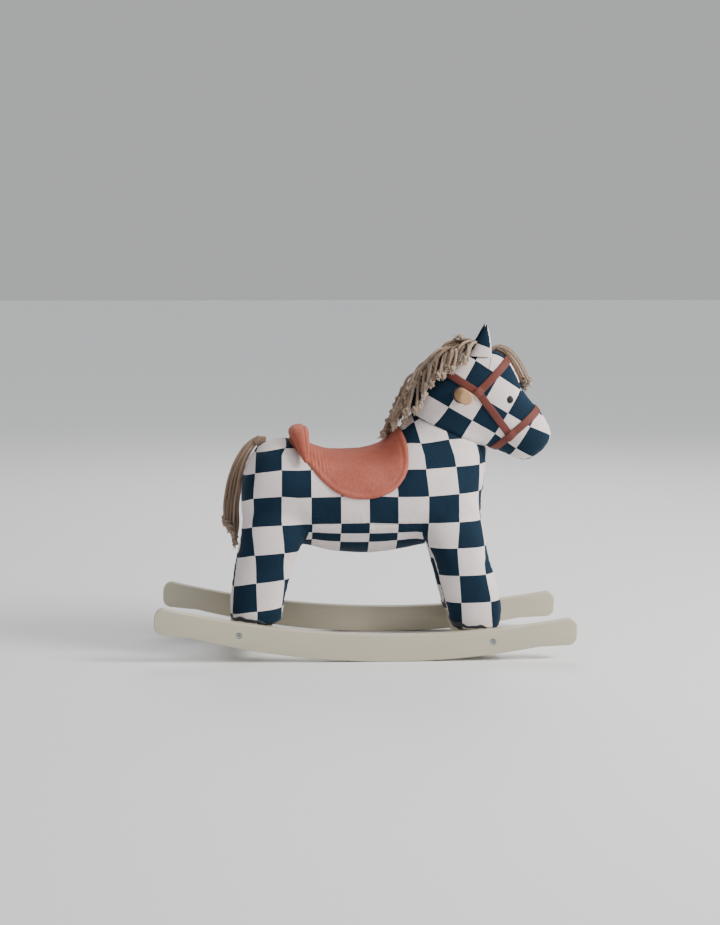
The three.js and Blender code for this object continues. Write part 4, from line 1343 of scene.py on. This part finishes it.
CHEEK_TOP, CHEEK_BOTTOM = (180.7, 453.0), (239.5, 381.0)
STRAP_WIDTH, STRAP_THICKNESS = 13.0, 2.0


# Each strap's stitches, its node, the line in side view that it lies on, and how far its ends stand off.
STRAPS = [
    ("crown", "crown_strap", CHEEK_TOP, (132, 482), 2.2),
    ("brow", "browband", CHEEK_TOP, (232.9, 508.9), 4.4),
    ("nose", "noseband", CHEEK_BOTTOM, (289.9, 426.3), 4.4),
    ("chin", "chin_strap", CHEEK_BOTTOM, (215.5, 357), 2.2),
]


def rays_round(origin, way):
    """Rays that fan out over the crown, nose or chin, from one side of the head round to the other."""
    half_turn = math.atan2(55.0, -4.5)
    return [(origin - way * 2.0, way * math.cos(a) + np.array([0, math.sin(a), 0]))
            for a in np.linspace(-half_turn, half_turn, 121)]


def rays_aside(origin, way, length, side):
    """Rays straight out of one side of the head."""
    return [(origin + way * s, np.array([0, float(side), 0])) for s in np.linspace(-3.0, length + 5.0, 60)]


def belt(node, start, through, lift_ends, side=0):
    """A strap lying on the head where a flat plane, square to its side, cuts it. start and through give the
    plane's line in side view. The strap goes round to the far side, or keeps to the side that is given."""
    way = np.array([through[0] - start[0], 0, through[1] - start[1]], float)
    length = np.linalg.norm(way)
    way /= length
    wide = np.array([-way[2], 0, way[0]]) * STRAP_WIDTH / 2
    origin = np.array([start[0], 0, start[1]])
    rays = rays_aside(origin, way, length, side) if side else rays_round(origin, way)
    span = np.linspace(-1, 1, 9)
    points, outwards = np.zeros((len(rays), len(span), 3)), np.zeros((len(rays), len(span), 3))
    for i, (centre, out) in enumerate(rays):
        for j, k in enumerate(span):
            hit, normal, _, _ = head_tree.ray_cast(Vector(centre + wide * k), Vector(out))
            points[i, j] = hit if hit else centre + out * 50
            outwards[i, j] = normal if hit else out
            outwards[i, j] *= 1 if outwards[i, j] @ out > 0 else -1
    along = distances(points[:, len(span) // 2])
    from_end = np.minimum(along, along[-1] - along)
    lift = 0.5 + lift_ends * np.exp(-((from_end / 13) ** 4))
    outwards = np.mean(outwards, axis=1, keepdims=True) * 0.6 + outwards * 0.4
    outwards /= np.linalg.norm(outwards, axis=2, keepdims=True)
    smooth_rows(points, 3)
    rounded = STRAP_THICKNESS * (1 - 0.35 * np.abs(span) ** 6)
    under = points + outwards * lift[:, None, None]
    over = points + outwards * (lift[:, None] + rounded[None, :])[:, :, None]
    ring = np.concatenate([over, under[:, ::-1]], axis=1)
    name = f"{node}_leather"
    mesh = face_out(mesh_of(name, ring.reshape(-1, 3), capped_faces(len(ring), ring.shape[1])))
    edge = np.abs(np.concatenate([span, span[::-1]]))
    at_ends = np.interp(from_end, [0, 0.9, 1.6], [0.93, 0.93, 0])
    store_edge(mesh, np.maximum(edge[None, :], at_ends[:, None]).ravel())
    piece(name, mesh, "bridle_leather", replaces=[node])
    smooth_by_angle(mesh, 50)
    return over, outwards, along


def smooth_rows(points, rounds):
    """Evens out a row of points between its two ends, in place."""
    for _ in range(rounds):
        points[1:-1] = points[1:-1] * 0.5 + (points[:-2] + points[2:]) * 0.25


def lap_stitches(name, over, outwards, along):
    """Two short rows of thread across each sewn end of a strap."""
    shape = Shape()
    for place in (2.2, 10.5, along[-1] - 2.2, along[-1] - 10.5):
        row = int(np.argmin(np.abs(along - place)))
        line = over[row] + outwards[row] * 0.15
        for k in range(0, 8, 2):
            a, b = line[k] * 0.8 + line[k + 1] * 0.2, line[k] * 0.1 + line[k + 1] * 0.9
            shape.add(*tube(np.array([a, (a + b) / 2 + outwards[row][k] * 0.2, b]), 0.38))
    piece(name, shape.mesh(name), DARK_THREAD)


def bridle():
    for name, node, start, through, lift_ends in STRAPS:
        lap_stitches(f"{name}_stitches", *belt(node, start, through, lift_ends))
    for side, side_name in SIDES:
        belt(f"cheek_strap_{side_name}", CHEEK_TOP, CHEEK_BOTTOM, 0.0, side)


bridle()

# ---------------------------------------------------------------- cords: mane, forelock, tail

KNOT = 1.8  # size of a tied knot, in millimetres for each unit of its figure
LAYING_STEP, CORD_STEP = 2.0, 1.5  # between the points of a route, and of the cord that is made on it


def bezier(points, count):
    """A curve with any number of control points."""
    t = np.linspace(0, 1, count)[:, None]
    level = [np.repeat(np.asarray(p, float)[None], count, axis=0) for p in points]
    while len(level) > 1:
        level = [a * (1 - t) + b * t for a, b in zip(level[:-1], level[1:])]
    return level[0]


def evenly(path, step):
    """The same path with points at even steps."""
    length = distances(path)[-1]
    return at_distances(path, np.linspace(0, length, max(int(round(length / step)) + 1, 8)))


def length_of(path):
    return float(np.linalg.norm(np.diff(path, axis=0), axis=1).sum())


def kept_outside(path, tree, lift, free):
    """Moves the points of a path out to lift from the cloth where they lie nearer, but for the first few."""
    moved = path.copy()
    for i in range(free, len(path)):
        near, normal, _, _ = tree.find_nearest(Vector(path[i]))
        out = np.array(normal)
        if (path[i] - np.array(near)) @ out < lift[i]:
            moved[i] = np.array(near) + out * lift[i]
    smooth_rows(moved, 2)
    return moved


def rope(path, radius, tone):
    """A three-ply cord along a path, with the values its material reads."""
    sides = 12
    points, faces = tube(path, radius, sides, laid=True)
    along = np.repeat(np.arange(len(path)) * length_of(path) / (len(path) - 1), sides)
    ply = np.tile(round_angles(sides), len(path)) - along / PLY_PITCH * 2 * math.pi
    return points, faces, np.stack([ply, along, np.full(len(points), tone)], axis=1)


def tied_end(path, radius, tone, seed):
    """An overhand knot just past the end of a cord, and its plies fraying out below."""
    draw = np.random.default_rng(seed)
    shape = Shape()
    end = path[-1]
    way = path[-1] - path[-4]
    way /= np.linalg.norm(way)
    side = np.cross(way, draw.normal(size=3))
    side /= np.linalg.norm(side)
    front = np.cross(way, side)
    t = np.linspace(0, 2 * math.pi, 40, endpoint=False)
    along, aside = np.sin(t) + 2 * np.sin(2 * t), np.cos(t) - 2 * np.cos(2 * t)
    size = KNOT * draw.uniform(0.9, 1.12) * radius / 2.2
    centre = end + way * size * 2.0
    forward = -1.15 * np.sin(3 * t)
    figure = np.outer(along, way * 0.85) + np.outer(aside, side * 0.8) + np.outer(forward, front)
    loop = centre + size * figure
    loop = np.vstack([loop, loop[:3]])
    shape.add(*rope(loop, radius * 0.94, tone + 0.35))
    for k in range(13):
        spread = draw.normal(size=3) * 0.45
        start = centre + way * size * 1.2 + (side * draw.normal() + front * draw.normal()) * radius * 0.35
        reach = draw.uniform(3.4, 5.4) * radius / 2.2
        bend = way + spread
        frayed = bezier([start, start + way * reach * 0.5, start + bend * reach], 6)
        points, faces = tube(frayed, radius * 0.34, 5, taper=[1, 1, 1, 0.95, 0.85, 0.5])
        shape.add(points, faces, np.full((len(points), 3), [0.3 * k, 0.5, 1.3 + 0.2 * tone]))
    return shape


def cord_mesh(name, shape):
    """A mesh of cords, with the values that their material reads."""
    mesh = shape.mesh(name)
    store(mesh, "ply", np.vstack(shape.values))
    return mesh


def free_cord(name, path, body, node, seed):
    """One cord with its knot, as two pieces."""
    path = evenly(path, CORD_STEP)
    tone = np.random.default_rng(seed).uniform(0, 1)
    line = piece(name, cord_mesh(name, Shape().add(*rope(path, CORD / 2, tone))), "cotton_cord", body, [node])
    tied = cord_mesh(f"{name}_knot", tied_end(path, CORD / 2, tone, seed))
    knot = piece(f"{name}_knot", tied, "cotton_cord", body)


def mane_bunch(name, paths, seed):
    """Cords of the mane that are too many to make one by one, with their knots, as one piece."""
    shape = Shape()
    for k, path in enumerate(paths):
        path = evenly(path, CORD_STEP)
        tone = np.random.default_rng(seed + k).uniform(0, 1)
        shape.add(*rope(path, CORD / 2, tone))
        tied = tied_end(path, CORD / 2, tone, seed + k)
        shape.add(np.vstack(tied.points), tied.faces, np.vstack(tied.values))
    piece(name, cord_mesh(name, shape), "cotton_cord", "horse", ["mane"])


# Where the mane's cords are sewn in, from the poll back and down the crest of the neck.
CREST = [(192, 0, 526), (175, 0, 526), (158, 0, 522), (140, 0, 516), (122, 0, 506), (106, 0, 493),
         (92, 0, 477), (80, 0, 457), (74, 0, 436), (71, 0, 416)]
# The ends of the cords that fall down the side, that lie half-way, and that run back along the crest.
SIDE_ENDS = [(163, 42, 520), (157, 48, 514), (143, 51, 500), (125, 52, 495), (101, 53, 472),
             (88, 53, 448), (74, 51, 429), (59, 47, 413), (47, 41, 400), (35, 37, 387)]
HALF_ENDS = [(152, 27, 526), (136, 28, 517), (119, 30, 507), (104, 31, 497), (91, 32, 479), (71, 31, 465),
             (64, 30, 449), (50, 28, 432), (44, 26, 408), (30, 24, 389)]
CREST_ENDS = [(146, 4, 530), (131, 4, 522), (111, 4, 508), (92, 4, 490), (77, 4, 468), (60, 4, 446),
              (48, 4, 421), (35, 4, 394), (27, 4, 381), (20, 4, 373)]
FALL = np.array([-0.41, 0, -0.91])  # the way that the cords hang, as the horse rests
# The mane's layers, from the crest out: how many stations each has along the crest, where its cords end and
# how far the ends stray aside, how far aside the roots are, how high and how far aside the cords rise, how
# far out they lie above their ends, and how thick the cords beneath them are.
LAYERS = {
    "crest": dict(stations=12, ends=CREST_ENDS, stray=7.5, root=1.5, rise=18, aside=3, clear=5, beneath=9.0),
    "upper": dict(stations=14, ends=HALF_ENDS, stray=2.5, root=4.5, rise=19, aside=13, clear=5, beneath=6.0),
    "side": dict(stations=17, ends=SIDE_ENDS, stray=2.5, root=7.5, rise=15, aside=24, clear=4, beneath=1.6),
}
THICKENED = (0.28, 0.31, 0.34, 0.38)  # stations of the side layer that have one more cord on each side
CLEAR_OF_EAR = 0.085  # foremost station of the side layer on the left


def at_station(line, station):
    """The point at a share of a smooth line, to the nearest hundredth."""
    return catmull(line, 101)[int(round(np.clip(station, 0, 1) * 100))]


def mane_path(station, layer, side, seed):
    """One cord's route: up out of the seam, over the cords beneath it, and down to its end."""
    draw = np.random.default_rng(seed)
    start = at_station(CREST, station)
    tangent = at_station(CREST, station + 0.03) - at_station(CREST, station - 0.03)
    tangent /= np.linalg.norm(tangent)
    outwards = np.array([tangent[2], 0, -tangent[0]])
    end = at_station(layer["ends"], station) * [1, side, 1]
    end = end + [draw.normal() * 3.2, draw.normal() * layer["stray"], draw.normal() * 3.4]
    root = start + np.array([0, side * layer["root"], 0]) - outwards * 1.0
    low_in_front = float(np.interp(station, [0, 0.12, 0.3, 0.5], [0.75, 0.62, 0.75, 1]))
    rise = layer["rise"] * draw.uniform(0.85, 1.12) * low_in_front
    over = start + outwards * rise + np.array([0, side * layer["aside"], 0]) + tangent * draw.uniform(2, 12)
    above = end - FALL * draw.uniform(18, 28) + outwards * layer["clear"] + [0, -side * 2, 0]
    path = evenly(bezier([root, root + outwards * 9, over, above, end], 60), LAYING_STEP)
    share = np.linspace(0, 1, len(path))
    lift = 2.7 + layer["beneath"] * np.sin(math.pi * np.clip(share * 0.9, 0, 1)) * (1 - 0.4 * share)
    return kept_outside(path, both_tree, lift, free=2)


def mane():
    """The mane's cords, from the side up to the crest: some are made singly, the rest in bunches."""
    declared, count = 0, 0
    bunches = {name: [] for name in LAYERS}
    for name in ("side", "upper", "crest"):
        layer = LAYERS[name]
        for k in range(layer["stations"]):
            for side in (-1, 1):
                count += 1
                station = (k + 0.5 + (0.25 if side > 0 else 0)) / (layer["stations"] + 0.5)
                if side > 0 and name == "side":
                    station = max(station, CLEAR_OF_EAR)
                path = mane_path(station, layer, side, 500 + count)
                if (name != "crest" and k % 2 == 0) if side < 0 else (name == "upper" and k % 3 == 0):
                    declared += 1
                    free_cord(f"mane_cord_{declared:02d}", path, "horse", "mane", 500 + count)
                else:
                    bunches[name].append(path)
    for k, station in enumerate(THICKENED):
        for side in (-1, 1):
            bunches["side"].append(mane_path(station, LAYERS["side"], side, 640 + 2 * k + (side > 0)))
    stray = [(178, -3, 525), (174, -5, 541), (168, -9, 543), (161, -8, 540), (155, -7, 543)]
    bunches["crest"].append(bezier(stray, 40))
    for k, (name, paths) in enumerate(bunches.items()):
        mane_bunch(f"mane_cords_{name}", paths, 900 + k * 50)


FORELOCK = [
    [(205, -6, 522), (216, -7, 530), (236, -11, 524), (252, -14, 507), (263, -14, 489), (270, -12, 476)],
    [(206, 0, 522), (219, 0, 532), (239, 1, 526), (256, 2, 508), (267, 2, 490), (273, 2, 478)],
    [(205, 6, 522), (215, 8, 530), (234, 12, 522), (249, 15, 506), (259, 17, 491), (265, 16, 480)],
    [(204, -3, 522), (214, -4, 523), (231, -5, 517), (245, -6, 500), (255, -7, 482), (263, -6, 468)],
    [(204, 3, 522), (213, 5, 523), (229, 7, 517), (243, 8, 500), (253, 7, 483), (260, 5, 471)],
]
# The tail's innermost and outermost route, and how far the cords are spread from the middle at each station.
TAIL_INNER = [(-178, 354.5), (-190, 352.5), (-198, 346.5), (-209, 326), (-217, 300), (-221, 268),
              (-222, 238), (-222, 211), (-223, 183)]
TAIL_OUTER = [(-178, 360.5), (-191, 361.0), (-202, 356.0), (-217, 341), (-231, 316), (-240, 288),
              (-245, 262), (-248, 241), (-246, 222)]
TAIL_SPREAD = [0.2, 0.24, 0.36, 0.6, 0.78, 0.9, 0.95, 1.0, 1.0]
# How far out each cord hangs, from the innermost route to the outermost, and how far to the side.
TAIL_CORDS = [(0.03, -10), (0.27, -9), (0.51, -10), (0.75, -9), (0.99, -10), (0.14, -1), (0.40, 1),
              (0.65, -1), (0.88, 1), (0.22, 9), (0.55, 10), (0.84, 9)]


def forelock():
    """Five cords sewn down at the poll, which fall over the brow."""
    for k, route in enumerate(FORELOCK):
        path = evenly(catmull(route, 70), LAYING_STEP)
        path = kept_outside(path, head_tree, np.linspace(2.4, 4.0, len(path)), free=2)
        free_cord(f"forelock_cord_{k + 1}", path, "forelock", "forelock", 300 + k)


def tail():
    """Twelve cords bound at the dock: an outer fall with its knots highest, and a longer one under it."""
    for k, (outer, y) in enumerate(TAIL_CORDS):
        draw = np.random.default_rng(700 + k)
        between = np.array(TAIL_INNER) * (1 - outer) + np.array(TAIL_OUTER) * outer
        route = []
        for (u, v), spread in zip(between, TAIL_SPREAD):
            u += draw.normal() * 0.9 * spread
            aside = y * spread + draw.normal() * 1.2 * spread
            v += draw.normal() * 4 if spread > 0.99 else 0
            route.append((u, aside, v))
        path = evenly(catmull(route, 140), LAYING_STEP)
        path = kept_outside(path, body_tree, np.full(len(path), 2.7), free=5)
        free_cord(f"tail_cord_{k + 1:02d}", path, "tail", "tail", 700 + k)
    binding()


def binding():
    """A thinner cord wound seven times round the tail's cords where they leave the body."""
    turns, ends = 7, (np.array([-187.5, 0, 357.3]), np.array([-196.5, 0, 351.8]))
    way = (ends[1] - ends[0]) / np.linalg.norm(ends[1] - ends[0])
    up = np.array([way[2], 0, -way[0]])
    t = np.linspace(0, 1, turns * 26)
    angle = t * turns * 2 * math.pi
    centre = ends[0] + (ends[1] - ends[0]) * t[:, None]
    path = centre + 7.4 * (np.cos(angle)[:, None] * up + np.sin(angle)[:, None] * np.array([0, 1.0, 0]))
    mesh = cord_mesh("tail_binding_cord", Shape().add(*rope(path, 0.95, 0.4)))
    piece("tail_binding_cord", mesh, "cotton_cord", "tail", ["tail_binding"])


mane()
forelock()
tail()

# ---------------------------------------------------------------- finish of what is carried over from the CAD

for node, obj in frame["nodes"].items():
    slot = next(s["material_slot"] for s in frame["record"]["subparts"] if s["node"] == node)
    for holder in obj.material_slots:
        holder.material = FINISH[slot]
    if node.startswith(("cross_rail", "foot_plate")):
        bevel = obj.modifiers.new("worn_edges", "BEVEL")
        bevel.width, bevel.segments, bevel.limit_method = 0.0012, 3, "ANGLE"

floor_mesh = bpy.data.meshes.new("floor")
floor_mesh.from_pydata([(-30, -30, 0), (30, -30, 0), (30, 30, 0), (-30, 30, 0)], [], [(0, 1, 2, 3)])
floor = bpy.data.objects.new("floor", floor_mesh)
bpy.context.collection.objects.link(floor)
floor_finish = Finish("floor", (0.82, 0.83, 0.84), 0.6)
floor_mesh.materials.append(floor_finish.material)
